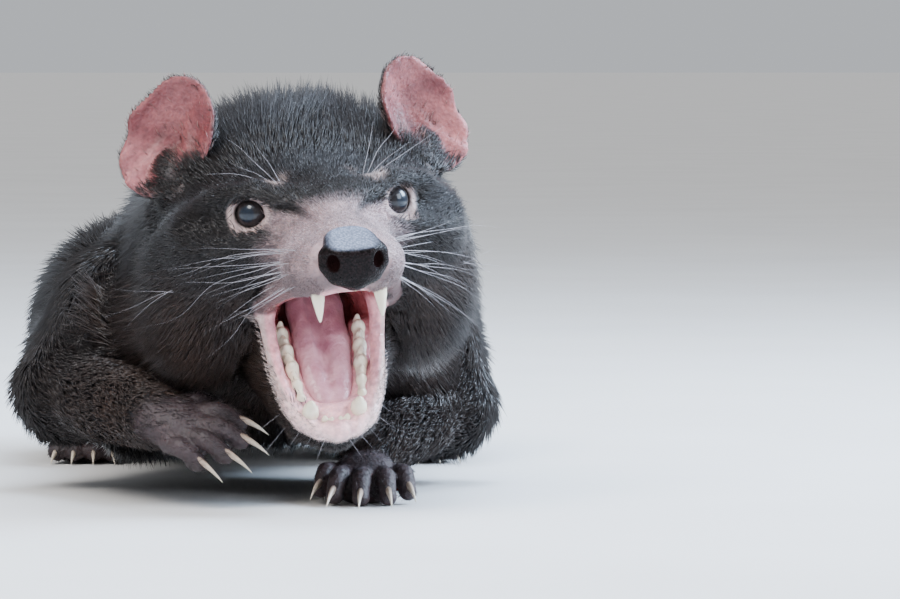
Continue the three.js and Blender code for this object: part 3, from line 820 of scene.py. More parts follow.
def mouth_masks(points, q, j):
    """The inside of the mouth, painted shade in the crease beside its teeth, the lips, and the lower lip's
    pale fringe.
    """
    gap, throat = MOUTH_SPACE.distance(points), THROAT.distance(points)
    inner = np.maximum(smooth_step(1.5, -1.5, gap), smooth_step(2, -2, throat))
    inner = inner * (q[:, 2] < -22) * (j[:, 2] > -9 - 8 * smooth_step(-52, -36, j[:, 1]))
    upper = nearest(both(HEAD, UPPER_LIP), points)
    lower = nearest(both(JAW, LOWER_LIP), points)
    gum = nearest(both(JAW, LOWER_GUM), points)
    outside = smooth_step(-2, 2, np.abs(j[:, 0]) - 12 + 0.2 * np.maximum(-62 - j[:, 1], 0))
    lip_line = -24.2 - 0.07 * (q[:, 1] + 41) - 0.13 * np.maximum(q[:, 1] + 15, 0)
    lower_lip = smooth_step(1.6, 0.4, lower)
    around = np.hypot(j[:, 0] / 20, (j[:, 1] + 45) / 45)
    return {
        "mouth": inner,
        # Painted shade in the crease beside the teeth.
        "crease_shade": smooth_step(0.3, 1.6, np.minimum(lower, gum)) * outside,
        "upper_lip": smooth_step(1.4, 0.2, upper) * smooth_step(0.8, -1.2, q[:, 2] - lip_line),
        "lower_lip": lower_lip,
        "fringe": lower_lip * smooth_step(1.0, 1.07, around),
    }


def ear_masks(points):
    """The bare front of the ears, their backs, painted shade in their folds, and the pale lobes."""
    found = dict(zip(("ear", "ear_back", "ear_fold_shade", "ear_lobe"), np.zeros((4, len(points)))))
    for side in SIDES:
        ear = Ear(side)
        x, y, z = ear.local(points)
        near = smooth_step(5, 2, ear.distance(points))
        front = smooth_step(1.0, -0.6, y - ear.bowl(x, z))
        low = smooth_step(-20, -15, z + 0.7 * (x - 2))
        # Painted shade in the hollow of the fold and in the crease beside its outer ridge.
        pit = bell((x + 5) / 5.5, (z + 4) / 6)
        crease_shade = bell((x - 4 + 0.5 * z) / 2.2) * smooth_step(9, 0, np.abs(z + 2))
        own = {
            "ear": near * front * low,
            "ear_back": near * (1 - front * low),
            "ear_fold_shade": near * front * np.maximum(pit, 0.7 * crease_shade),
            "ear_lobe": near * front * smooth_step(2, -8, z) * smooth_step(-3, 5, x),
        }
        found = {name: np.maximum(mask, own[name]) for name, mask in found.items()}
    return found


def body_masks(points, q):
    """The bare feet, the pale mark on the chest and the brown of the cheeks."""
    own = group_distances(points, ("paw", "foot", *ARM_ZONES, *LEG_ZONES))
    feet = np.minimum(own["paw"], own["foot"])
    legs = np.min([own[n] for n in ARM_ZONES + LEG_ZONES], axis=0)
    chest = np.linalg.norm((points - (-5, -168, 20)) / (8, 30, 13), axis=1)
    cheek = smooth_step(-8, -30, q[:, 2]) * smooth_step(-10, 20, q[:, 1]) * smooth_step(150, 60, q[:, 1])
    return {
        "foot": smooth_step(0, 4.5, legs - feet) * smooth_step(4, 2, feet),
        "chest": smooth_step(1.15, 0.75, chest),
        "brown": cheek * (0.65 + 0.35 * wave(points, 3, 14)),
    }


def masks(points):
    """How much of each marking there is at each point."""
    q, j = HEAD.into(points), JAW.into(points)
    found = face_masks(points, q) | eye_masks(points) | mouth_masks(points, q, j)
    return found | ear_masks(points) | body_masks(points, q)


def blend_colours(base, layers):
    for colour, mask in layers:
        base = base + (np.array(colour) - base) * mask[:, None]
    return base


def skin_looks(points, found):
    """The skin's colour and how wet it is."""
    q, j = HEAD.into(points), JAW.into(points)
    muzzle, ear = found["muzzle"], found["ear"]
    # Painted highlight: the lower lip grows paler towards the chin as if in strong light.
    chin = smooth_step(-66, -84, j[:, 1])
    lower_lip = (0.74, 0.35, 0.38) + chin[:, None] * (0.14, 0.26, 0.25)
    # Painted shade: the inside of the mouth darkens towards the throat and in the crease beside the teeth.
    deep_shade = smooth_step(-85, -35, j[:, 1])
    crease_shade = np.clip(found["crease_shade"], 0, 1)[:, None]
    pink = np.outer(1 - deep_shade, (0.82, 0.45, 0.48)) + np.outer(deep_shade, (0.32, 0.1, 0.105))
    pink = pink * (1 - crease_shade * (0.2, 0.42, 0.42))
    lips = np.maximum(found["upper_lip"], found["lower_lip"])
    base = np.full((len(points), 3), (0.016, 0.014, 0.0145)) * (1 + 0.2 * wave(points, 5, 9))[:, None]
    layers = (
        ((0.3, 0.2, 0.205), muzzle * (0.86 + 0.14 * wave(points, 8, 4))),
        ((0.1, 0.065, 0.065), muzzle * smooth_step(-18.5, -24, q[:, 2]) * 0.8),
        ((0.09, 0.05, 0.05), found["pit"] * 0.8),
        ((0.26, 0.2, 0.19), found["brow"]),
        ((0.05, 0.035, 0.033), smooth_step(0.5, 1, found["ear_back"]) * 0.7),
        ((0.036, 0.021, 0.024), found["foot"] * (0.8 + 0.2 * wave(points, 9, 3))),
        ((0.4, 0.305, 0.29), found["lid"] * (0.9 + 0.1 * wave(points, 2, 2))),
        ((0.02, 0.012, 0.01), found["lid_rim"]),
        ((0.165, 0.04, 0.044), ear),
        ((0.29, 0.092, 0.095), ear * np.clip(0.3 + 0.9 * wave(points, 4, 5), 0, 1)),
        ((0.38, 0.135, 0.14), found["ear_lobe"] * (0.75 + 0.25 * wave(points, 14, 3))),
        # Painted shade in the folds of the ears.
        ((0.06, 0.022, 0.022), found["ear_fold_shade"] * (0.6 + 0.4 * wave(points, 6, 2))),
        ((0.02, 0.016, 0.017), found["furrow"] * 0.9),
        (lower_lip, found["lower_lip"]),
        # Near the chin the fringe gives way to the painted highlight of the lower lip.
        ((0.5, 0.37, 0.34), found["fringe"] * (1 - 0.6 * chin)),
        # Painted shade on the skin under the nose pad.
        ((0.006, 0.004, 0.004), found["nose_hollow_shade"]),
        (pink, np.maximum(found["mouth"] * (1 - 0.6 * lips), 0)),
        ((0.13, 0.075, 0.075), found["upper_lip"] * 0.75),
    )
    wet = np.clip(found["mouth"] + 0.6 * lips + 0.25 * muzzle + 0.2 * ear, 0, 1)
    return np.clip(blend_colours(base, layers), 0.002, 1), wet


def coat_colour(points, found):
    muzzle = found["muzzle"]
    fuzz = np.clip(0.82 + 0.3 * wave(points, 12, 5), 0, 1)
    layers = (
        ((0.04, 0.021, 0.014), found["brown"] * 0.8),
        ((0.42, 0.33, 0.345), muzzle * fuzz),
        ((0.17, 0.12, 0.12), muzzle * smooth_step(-19, -25, HEAD.into(points)[:, 2]) * 0.8),
        ((0.1, 0.06, 0.06), found["pit"] * 0.8),
        ((0.34, 0.27, 0.25), found["brow"] * 0.85),
        ((0.014, 0.012, 0.012), found["furrow"]),
        ((0.035, 0.026, 0.027), found["foot"] * 0.7),
        ((0.07, 0.066, 0.065), found["chest"]),
        ((0.42, 0.35, 0.33), found["fringe"]),
        ((0.2, 0.1, 0.09), found["ear"] * 0.8),
    )
    return blend_colours(np.full((len(points), 3), (0.012, 0.0098, 0.0098)), layers)


# Skin
SKIN_STEP = 1.5
EARS = [Ear(side) for side in SIDES]
FLESH = ["head", "lower_jaw", "neck", "chest", "belly", "rump", "tail_base", "tail_tip"]
for part in ("ear", "upper_arm", "forearm", "forefoot", "thigh", "shank", "hindfoot"):
    FLESH += [part + "_left", part + "_right"]


def settle(vertices, parts=None, rounds=2):
    """Moves points onto the zero level."""
    for _ in range(rounds):
        d, gradient = plan_slope(vertices, parts)
        size = (gradient**2).sum(1)
        move = np.clip(d / np.maximum(size, 0.25), -0.9, 0.9)
        vertices = vertices - gradient * move[:, None]
    return vertices


def fine_zone(points):
    """1 where the skin needs its full detail: the face, the ears and the feet."""
    q = HEAD.into(points)
    face = smooth_step(42, 30, q[:, 1])
    ears = smooth_step(6, 4, nearest(EARS, points))
    own = group_distances(points, ("paw", "foot"))
    feet = smooth_step(5, 3, np.minimum(own["paw"], own["foot"] + 1))
    return np.maximum.reduce([face, ears, feet])


def thin_out(piece, weights, ratio):
    """Fewer faces where the weight is high."""
    group = piece.vertex_groups.new(name="thin")
    for level in range(1, 11):
        chosen = np.flatnonzero(np.round(weights * 10) == level)
        group.add(chosen.tolist(), level / 10, "REPLACE")
    modifier = piece.modifiers.new("thin", "DECIMATE")
    modifier.ratio = ratio
    modifier.vertex_group = "thin"
    modifier.vertex_group_factor = 10
    result = piece.evaluated_get(bpy.context.evaluated_depsgraph_get())
    thinner = bpy.data.meshes.new_from_object(result)
    piece.modifiers.clear()
    piece.vertex_groups.clear()
    piece.data = thinner


def divide(mesh, chosen):
    """Cuts each edge between two chosen vertices in half."""
    bm = bmesh.new()
    bm.from_mesh(mesh)
    bm.verts.ensure_lookup_table()
    edges = [e for e in bm.edges if chosen[e.verts[0].index] and chosen[e.verts[1].index]]
    bmesh.ops.subdivide_edges(bm, edges=edges, cuts=1, use_grid_fill=True)
    bmesh.ops.triangulate(bm, faces=[f for f in bm.faces if len(f.verts) > 4])
    bm.to_mesh(mesh)
    bm.free()


def write_points(mesh, points):
    mesh.vertices.foreach_set("co", to_scene(points).astype(np.float32).ravel())
    mesh.update()


def closest_zone(points):
    """1 round the eyes, the lips and the gums."""
    e = np.min([np.linalg.norm(points - eye_frame(s).out((0, -5, 0)), axis=1) for s in SIDES], axis=0)
    gums = group_distances(points, ("mouth", "lip"))
    return (e < 12) | (np.minimum(gums["mouth"], gums["lip"]) < 1.2)


def build_skin():
    field, corner = grid_distance((-105, -300, -3), (105, 352, 168), SKIN_STEP)
    floor = (corner[2] + SKIN_STEP * np.arange(field.shape[2])).astype(np.float32)
    field = np.maximum(field, -floor[None, None, :])  # soles are flat on the floor
    vertices, quads = surface(field, corner, SKIN_STEP)
    piece = mesh_piece("skin", vertices, [quads], SKIN)
    thin_out(piece, 1 - fine_zone(read_points(piece.data)), 0.42)
    mesh = piece.data
    points = read_points(mesh)
    in_face = (HEAD.into(points)[:, 1] < 20) & (fine_zone(points) > 0.5)
    divide(mesh, in_face | (group_distances(points, ("paw",))["paw"] < 3))
    divide(mesh, closest_zone(read_points(mesh)))
    points = settle(read_points(mesh))
    points[:, 2] = np.maximum(points[:, 2], 0)
    write_points(mesh, points)
    mesh.polygons.foreach_set("use_smooth", np.full(len(mesh.polygons), True))
    colour, wet = skin_looks(points, masks(points))
    paint(mesh, "tint", colour)
    paint(mesh, "wet", wet)
    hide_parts(*FLESH)
    return piece


skin = build_skin()


# Eyes, nose, tongue, teeth
EYE_RINGS, EYE_SEGMENTS = 26, 40


def tube_faces(rings, sides):
    """Quads between rings of points, and caps to the first and the last point, which follow the rings."""
    around = np.arange(sides)
    after = (around + 1) % sides
    quads = np.stack([around, after, after + sides, around + sides], 1)
    last = (rings - 1) * sides
    start, end = np.full((2, sides), rings * sides) + [[0], [1]]
    caps = [np.stack([start, after, around], 1), np.stack([end, last + around, last + after], 1)]
    return np.concatenate([quads + i * sides for i in range(rings - 1)]), np.concatenate(caps)


def build_eye(side):
    """A ball whose pole is the middle of the pupil, a little raised there."""
    tilt = np.repeat(np.linspace(0, math.pi, EYE_RINGS + 2)[1:-1], EYE_SEGMENTS)
    spin = np.tile(np.linspace(0, 2 * math.pi, EYE_SEGMENTS, endpoint=False), EYE_RINGS)
    rings = np.stack([np.sin(tilt) * np.cos(spin), -np.cos(tilt), np.sin(tilt) * np.sin(spin)], 1)
    points = np.concatenate([rings, [(0, -1, 0), (0, 1, 0)]])
    away = np.concatenate([tilt / (math.pi / 2), [0, 2]])
    radius = EYE_RADIUS * (1 + 0.045 * smooth_step(0.62, 0.2, away))
    faces = [group[:, ::-1] for group in tube_faces(EYE_RINGS, EYE_SEGMENTS)]
    name = "eye_" + SIDE_NAMES[side]
    piece = mesh_piece(name + "_wet", eye_frame(side).out(points * radius[:, None]), faces, EYE_LOOK)
    paint(piece.data, "away", away / 2)
    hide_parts(name)


for side in SIDES:
    build_eye(side)


def build_from(name, parts, low, high, step, material, base):
    """A piece of its own from a few shapes, meshed in its box."""
    corners = base.out(list(product(*zip(low, high))))
    field, corner = grid_distance(corners.min(0), corners.max(0), step, parts)
    vertices, quads = surface(field, corner, step)
    return mesh_piece(name, settle(vertices, parts, 1), [quads], material)


def build_nose():
    """A flat shelf that slopes forward, a front with a groove, and a wing round each nostril."""
    pad = HEAD.child(np.eye(3), (0.7, 0, 0))
    front = [(0, -40, -14, 9, 8.5), (0, -44.5, -17, 9, 8.5), (0, -43, -21.4, 6.4, 6.4)]
    shapes = [
        (Limb(pad, [(0, -37, -10.6, 8.4, 4.8), (0, -45.6, -12.6, 9.2, 5.2)]), 2, True),
        (Limb(pad, front), 4, True),
        (Ball(pad, (0, -137, 167.1), 200), 1.6, False),
        (Ball(pad, (0, -108.6, -32.8), 60), 3, False),
    ]
    pits = []
    for side in SIDES:
        wing = [(9.2, -43.8, -14.8, 2.6, 3), (9.4, -43.8, -18.2, 2.6, 3), (6.4, -43.6, -22.0, 3.3, 3.3)]
        shapes.append((Limb(pad, on_side(wing, side)), 3, True))
        pits.append(Limb(pad, on_side([(9.2, -56, -17.4, 2.0, 2.6), (8.2, -48.6, -17.6, 2.3, 2.9)], side)))
        slit = [(8.8, -51.5, -19, 1.5), (11, -49.4, -19.6, 1.4), (13.4, -46, -18.6, 1.1)]
        pits.append(Limb(pad, on_side(slit, side)))
    shapes += [(pit, 0.7, False) for pit in pits]
    groove = [(0, -52.2, -15, 0.4), (0, -51.4, -18, 0.8), (0, -49.9, -23, 0.9), (0, -47.6, -28, 1.0)]
    shapes.append((Limb(pad, groove), 0.8, False))
    parts = [("nose", *shape) for shape in shapes]
    piece = build_from("nose_pad", parts, (-16, -56, -31), (16, -30, -4), 0.45, NOSE, HEAD)
    points = read_points(piece.data)
    q = pad.into(points)
    # The top mask marks where the shelf faces up, for the painted reflection of the lights above.
    _, slope = plan_slope(points, parts)
    level = unit(slope) @ HEAD.rotation[:, 2]
    shelf = smooth_step(-15, -12, q[:, 2]) * smooth_step(11, 5, np.abs(q[:, 0]))
    paint(piece.data, "top", smooth_step(0.35, 0.95, level) * shelf)
    # The pit mask: the nostrils' dark lining, darkened further as painted shade.
    inside = smooth_step(0.5, 0.1, nearest(pits, points))
    paint(piece.data, "pit", inside * smooth_step(-51, -49.6, q[:, 1]))
    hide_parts("nose")


TONGUE_MIDDLE = [(0, -24, -3, 7, 4), (0, -52, -0.2, 7.5, 4), (0, -74, -0.4, 5, 3)]
TONGUE_LOBE = [
    (4.4, -22, -1.6, 4.8, 5), (4.8, -34, 0.2, 5.6, 5), (4.9, -42, 0.8, 5.0, 4.9), (4.8, -51, 1.2, 5.8, 4.9),
    (4.6, -60, 1.0, 4.9, 4.3), (3.8, -68, 0.6, 4.9, 3.7), (2.6, -76, 0.8, 3.8, 2.6),
]
TONGUE_GROOVE = [
    (-1.2, -22, 3.6, 1.7), (-1.8, -36, 5.2, 1.9), (-1.4, -48, 5.4, 1.8), (-0.4, -60, 4.8, 1.3),
    (0, -70, 4, 0.6),
]


def build_tongue():
    """Two lobes over a middle, with a groove between them."""
    parts = [("tongue", Limb(JAW, TONGUE_MIDDLE), 1, True)]
    parts += [("tongue", lobe, 1.6, True) for lobe in both(JAW, TONGUE_LOBE)]
    parts.append(("tongue", Limb(JAW, TONGUE_GROOVE), 1.6, False))
    piece = build_from("tongue_wet", parts, (-13, -86, -10), (13, -18, 8), 0.7, TONGUE, JAW)
    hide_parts("tongue")


def tooth_shapes(base, x, y, z, radius, length, up, cusps, lean=0.0):
    """A crown that narrows to its tip, with smaller cusps in front and behind."""
    crown = [
        (x, y, z - up * 2, radius, radius),
        (x, y - lean * 0.3, z + up * length * 0.4, radius * 0.8, radius * 0.86),
        (x, y - lean * 0.75, z + up * length * 0.75, radius * 0.46),
        (x, y - lean, z + up * length - up * radius * 0.2, radius * 0.2),
    ]
    paths = [crown]
    for offset, share in cusps:
        foot = (x, y + offset, z - up * 1.5, radius * 0.85)
        paths.append([foot, (x, y + offset * 1.1, z + up * length * share, radius * 0.26)])
    return [("tooth", Limb(base, path), 0.8, True) for path in paths]


# Tooth rows: half width, how far back, radius, length, and the smaller cusps of each crown
CUSPS = ((2.9, 0.8), (-2.9, 0.72))
UPPER_TEETH = [
    (1.7, -37.6, 1.2, 0.4, ()), (4.3, -37, 1.2, 0.4, ()),
    (13, -25, 1.7, 0.8, ()), (14.4, -19.5, 1.8, 0.6, ()), (15.8, -12.5, 2.2, 1.2, ()),
    (17, -5, 2.6, 2.6, CUSPS), (18, 3, 2.8, 4.0, CUSPS),
]
LOWER_TEETH = [
    (1.5, -86, 1.4, 3.4, ()), (4.0, -85.4, 1.5, 3.6, ()),
    (10.8, -75.5, 2.1, 3.6, ((1.7, 0.5),)), (11.5, -69.5, 2.4, 4.6, ((2.2, 0.6),)),
    (12.3, -62.3, 2.9, 5.6, CUSPS), (13.1, -54.6, 3.0, 6.2, CUSPS), (13.8, -46.8, 3.0, 6.2, CUSPS),
]


def build_teeth():
    for name, base, row, z, up, canine in (
        ("teeth_upper", HEAD, UPPER_TEETH, -27.2, -1, (11, -33.5, -25, 2.8, 13.2, 0.6)),
        ("teeth_lower", JAW, LOWER_TEETH, 1.6, 1, (8.6, -82, 1, 3.5, 9.6, 0.6)),
    ):
        parts = []
        for side in SIDES:
            for x, y, radius, length, cusps in row:
                parts += tooth_shapes(base, side * x, y, z, radius, length, up, cusps)
            ridge = [(x, y, z + up * h * 0.15, r * 0.72, r * 0.7) for x, y, r, h, _ in row[2:]]
            parts.append(("tooth", Limb(base, on_side(ridge, side)), 1.0, True))
            x, y, top, radius, length, lean = canine
            parts += tooth_shapes(base, side * x, y, top, radius, length, up, (), lean)
        low = (-26, min(r[1] for r in row) - 8, z - 14)
        high = (26, max(r[1] for r in row) + 8, z + 14)
        piece = build_from(name, parts, low, high, 0.55, TOOTH, base)
        height = (base.into(read_points(piece.data))[:, 2] - z) * up
        paint(piece.data, "root", smooth_step(2.2, 0.2, height) * 0.6)


build_nose()
build_tongue()
build_teeth()


# Claws
def swept(path, radii, sides, squash=1.0):
    """A closed tapered tube: rings round the path, then a tip."""
    path, radii = np.array(path, float), np.array(radii, float)
    way = np.gradient(path, axis=0)
    way /= np.linalg.norm(way, axis=1)[:, None]
    rise = np.array([0, 0, 1.0]) - way * way[:, 2:]
    rise /= np.maximum(np.linalg.norm(rise, axis=1)[:, None], 1e-6)
    across = np.cross(way, rise)
    angle = np.linspace(0, 2 * math.pi, sides, endpoint=False)[None, :, None]
    ring = squash * np.cos(angle) * across[:, None] + np.sin(angle) * rise[:, None]
    rings = path[:, None] + radii[:, None, None] * ring
    vertices = np.concatenate([rings.reshape(-1, 3), path[:1], path[-1:]])
    return vertices, *tube_faces(len(path), sides)


CLAW_SIDES = 10


def build_claw(name, base, length, radius, drop):
    t = np.linspace(-0.22, 1, 12)
    forward = np.maximum(t, 0)
    path = [(0, -length * s, -drop * f * f) for s, f in zip(t, forward)]
    radii = radius * np.clip(1 - forward, 0.02, 1) ** 0.75
    vertices, quads, caps = swept(path, radii, CLAW_SIDES, 0.72)
    vertices = base.out(vertices)
    vertices[:, 2] = np.maximum(vertices[:, 2], 0)
    piece = mesh_piece(name + "_horn", vertices, [quads, caps], CLAW)
    paint(piece.data, "along", np.concatenate([np.repeat(forward, CLAW_SIDES), [0, 1]]))
    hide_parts(name)


for side, side_name in SIDE_NAMES.items():
    droop = turn("X", -PAWS[side]["claw_lift"])
    for i, (toe, length) in enumerate(fore_toes(side)):
        build_claw(f"fore_claw_{side_name}_{i + 1}", toe.child(droop, (0, 1 - length, 0.6)), 11.5, 1.8, 5.5)
    for i, (toe, length) in enumerate(hind_toes(side)):
        build_claw(f"hind_claw_{side_name}_{i + 1}", toe.child(np.eye(3), (0, 1 - length, 0.5)), 11, 1.9, 5)


# Coat
def skin_triangles():
    """The skin's triangles, points and normals, and the area of each triangle."""
    mesh = skin.data
    mesh.calc_loop_triangles()
    triangles = np.empty(len(mesh.loop_triangles) * 3, np.int32)
    mesh.loop_triangles.foreach_get("vertices", triangles)
    triangles = triangles.reshape(-1, 3)
    normals = np.empty(len(mesh.vertices) * 3, np.float32)
    mesh.vertices.foreach_get("normal", normals)
    points = read_points(mesh)
    a, b, c = (points[triangles[:, i]] for i in range(3))
    area = np.linalg.norm(np.cross(b - a, c - a), axis=1) / 2
    return triangles, points, normals.reshape(-1, 3).astype(float), area


TRIANGLES, SKIN_POINTS, SKIN_NORMALS, SKIN_AREAS = skin_triangles()
ZONES = ("head", "jaw", "neck", "trunk", *ARM_ZONES, "paw", *LEG_ZONES, "foot", "tail", "ear")
ZONE_BLEND = 4


def zone_shares(points):
    """How much each point belongs to each zone, as columns that add up to 1."""
    own = group_distances(points, ZONES)
    stack = np.stack([own[z] for z in ZONES], 1)
    share = np.exp(-(stack - stack.min(1, keepdims=True)) / ZONE_BLEND)
    share /= share.sum(1, keepdims=True)
    return dict(zip(ZONES, share.T))


FLOOR_GAP = 0.4
# Each zone's tufts: length, width, lift in degrees, tufts per square millimetre
HAIR = {
    "head": (9, 0.34, 16, 2.2),
    "jaw": (8, 0.34, 16, 1.8),
    "neck": (18, 0.48, 24, 1.35),
    "trunk": (20, 0.62, 25, 0.72),
    "arm1": (12, 0.5, 20, 1.1),
    "arm-1": (12, 0.5, 20, 1.1),
    "paw": (3.2, 0.22, 12, 0.5),
    "leg1": (15, 0.6, 20, 0.75),
    "leg-1": (15, 0.6, 20, 0.75),
    "foot": (4, 0.3, 12, 0.5),
    "tail": (15, 0.55, 20, 0.8),
    "ear": (3.2, 0.24, 20, 1.1),
}


def hair_sizes(points, shares, found):
    """Length, width, lift and density at each point."""
    table = np.array([HAIR[z] for z in ZONES], float)
    length, width, lift, density = (np.stack(list(shares.values()), 1) @ table).T
    q = HEAD.into(points)
    across = np.abs(q[:, 0])
    on_head = shares["head"] + shares["jaw"]
    back = smooth_step(-20, 60, q[:, 1])
    length = length + on_head * (-6 + 10 * back)
    width = width + on_head * (-0.1 + 0.18 * back)
    density = density + on_head * (1.0 - 1.2 * back)
    crown = on_head * smooth_step(22, 45, q[:, 1]) * smooth_step(0, 12, q[:, 2])
    crown = crown * smooth_step(48, 38, across)
    flank = smooth_step(22, 36, across) * smooth_step(14, 2, q[:, 2])
    ruff = on_head * smooth_step(14, 38, q[:, 1]) * flank
    scruff = shares["neck"] * smooth_step(0, 15, q[:, 2]) * smooth_step(110, 80, q[:, 1])
    nape = shares["neck"] * flank
    cheek = np.maximum(found["brown"], 0) * on_head
    tufted = ((crown, 10, 34), (ruff, 9, 16), (scruff, 3, 14), (nape, 4, 8), (cheek, 2, 6))
    for place, longer, steeper in tufted:
        length = length + longer * place
        lift = lift + steeper * place
    muzzle, fringe = found["muzzle"], found["fringe"]
    length = length * (1 - 0.3 * muzzle) * (1 - 0.5 * fringe)
    width = width * (1 - 0.35 * muzzle) * (1 - 0.35 * fringe)
    bare = found["mouth"] * 1.6 + found["upper_lip"] + found["lower_lip"] * (1 - 0.75 * fringe)
    density = density * (1 - np.clip(bare + found["lid"] * 0.95 + found["brow"] * 0.55, 0, 1))
    density = density * (1 - 0.97 * found["ear"]) * (1 - 0.5 * found["foot"])
    lift = lift + 12 * fringe
    near_ear = smooth_step(14, 4, nearest(EARS, points))
    ear_foot = near_ear * on_head * smooth_step(36, 44, across) * smooth_step(56, 46, q[:, 1])
    length = length * (1 - 0.72 * ear_foot)
    lift = lift * (1 - 0.7 * ear_foot)
    nose = np.linalg.norm((q - (0, -43, -17)) / (13, 9.5, 12.5), axis=1)
    density = density * smooth_step(0.95, 1.15, nose) * (points[:, 2] >= FLOOR_GAP)
    return np.maximum(length, 1.6), np.maximum(width, 0.16), lift, np.maximum(density, 0)


def comb(points, normals, shares):
    """Which way the hair lies."""
    q, j = HEAD.into(points), JAW.into(points)
    flat, ones = np.zeros(len(points)), np.ones(len(points))
    side = np.sign(q[:, 0])
    side_on = np.abs(normals[:, 0])
    head_way = unit(q - (0, -62, -12)) + (0, 0.55, 0.1)
    head_way[:, 2] -= 0.55 * smooth_step(10, 30, np.abs(q[:, 0])) * smooth_step(5, -25, q[:, 2])
    head_way[:, 0] += 0.25 * side * smooth_step(30, 60, q[:, 1])
    tail_points = np.array(TAIL)[:, :3]
    link = np.argmin(np.linalg.norm(points[:, None] - tail_points[None], axis=2), 1)
    paw_ways = {s: PAWS[s]["base"].rotation @ (0, -1, 0) for s in SIDES}
    ways = {
        "head": unit(head_way) @ HEAD.rotation.T,
        "jaw": unit(unit(j - (0, -100, 10)) + (0, 0.2, -0.4)) @ JAW.rotation.T,
        "neck": unit(np.stack([0.25 * normals[:, 0], ones, -0.6 * side_on], 1)),
        "trunk": unit(np.stack([flat, ones, -0.45 * side_on - 0.1], 1)),
        "paw": np.where((points[:, 0] > 5)[:, None], paw_ways[1], paw_ways[-1]),
        "foot": np.array([0, -1.0, 0]),
        "tail": unit(np.gradient(tail_points, axis=0))[link],
        "ear": np.stack([0.35 * side, 0.2 * ones, 0.9 * ones], 1) @ HEAD.rotation.T,
    }
    for s in SIDES:
        elbow = np.array(ARMS[s]["elbow"], float)
        upper = unit((elbow - ARMS[s]["shoulder"])[None])
        lower = unit((ARMS[s]["wrist"] - elbow)[None])
        past = smooth_step(-12, 12, (points - elbow) @ lower[0])[:, None]
        ways["arm" + str(s)] = upper * (1 - past) + lower * past
        ways["leg" + str(s)] = np.array([0.1 * s, 0.55, -0.8])
    swirl = np.stack([wave(points, seed, 11) for seed in (21, 22, 23)], 1)
    total = unit(sum(shares[zone][:, None] * way for zone, way in ways.items())) + 0.22 * swirl
    total -= normals * (total * normals).sum(1)[:, None]
    return unit(total)


def unwrap(points):
    """A place on a map of the skin, with the head and the body each rolled out round its length."""
    q = HEAD.into(points)
    in_head = q[:, 1] < 70
    angle_head = np.arctan2(q[:, 0], q[:, 2] + 12) / (2 * math.pi) + 0.5
    angle_body = np.arctan2(points[:, 0], points[:, 2] - 60) / (2 * math.pi) + 0.5
    along_head = (q[:, 1] + 60) / 140 * 0.45
    along_body = 0.46 + (points[:, 1] + 270) / 640 * 0.52
    u = np.where(in_head, angle_head, angle_body)
    v = np.where(in_head, along_head, along_body)
    return np.clip(np.stack([u, v], 1), 0.002, 0.995)


def sample_roots(count, weight):
    """Points on the skin, spread by area and weight."""
    chance = SKIN_AREAS * weight[TRIANGLES].mean(1)
    picked = rng.choice(len(TRIANGLES), count, p=chance / chance.sum())
    r, s = np.sqrt(rng.random(count)), rng.random(count)
    shares = np.stack([1 - r, r * (1 - s), r * s], 1)
    corners = TRIANGLES[picked]
    points = (SKIN_POINTS[corners] * shares[:, :, None]).sum(1)
    normals = unit((SKIN_NORMALS[corners] * shares[:, :, None]).sum(1))
    return points, normals


def clump(points, tips, size, pull):
    """Draws the tips of neighbours together."""
    seeds = points[rng.choice(len(points), max(len(points) // size, 1), replace=False)]
    tree = tree_of(seeds)
    owner = np.array([tree.find(p)[1] for p in points])
    total = np.stack([np.bincount(owner, tips[:, k], len(seeds)) for k in range(3)], 1)
    middle = total / np.maximum(np.bincount(owner, minlength=len(seeds)), 1)[:, None]
    return tips + (middle[owner] - tips) * (pull * rng.random(len(tips)))[:, None]


PATCH = 0.003  # a tuft's patch on the map
PATCH_CORNERS = ((0.5, 0), (0, 0.5), (0.5, 0.5), (1, 0.5), (0.5, 1))
TUFT_FACES = ((0, 2, 1), (0, 3, 2), (0, 1, 3), (1, 2, 4), (2, 3, 4), (3, 1, 4))
TUFT_POINTS = 5
ROOT_DEPTH = 0.4
MIDDLE_AT = 0.42
TUFTS = 246000
MOST_IN_PIECE = 32500
CLUMP_SIZE, CLUMP_PULL = 12, 0.45


def rising(way, normals, angle):
    return way * np.cos(angle)[:, None] + normals * np.sin(angle)[:, None]


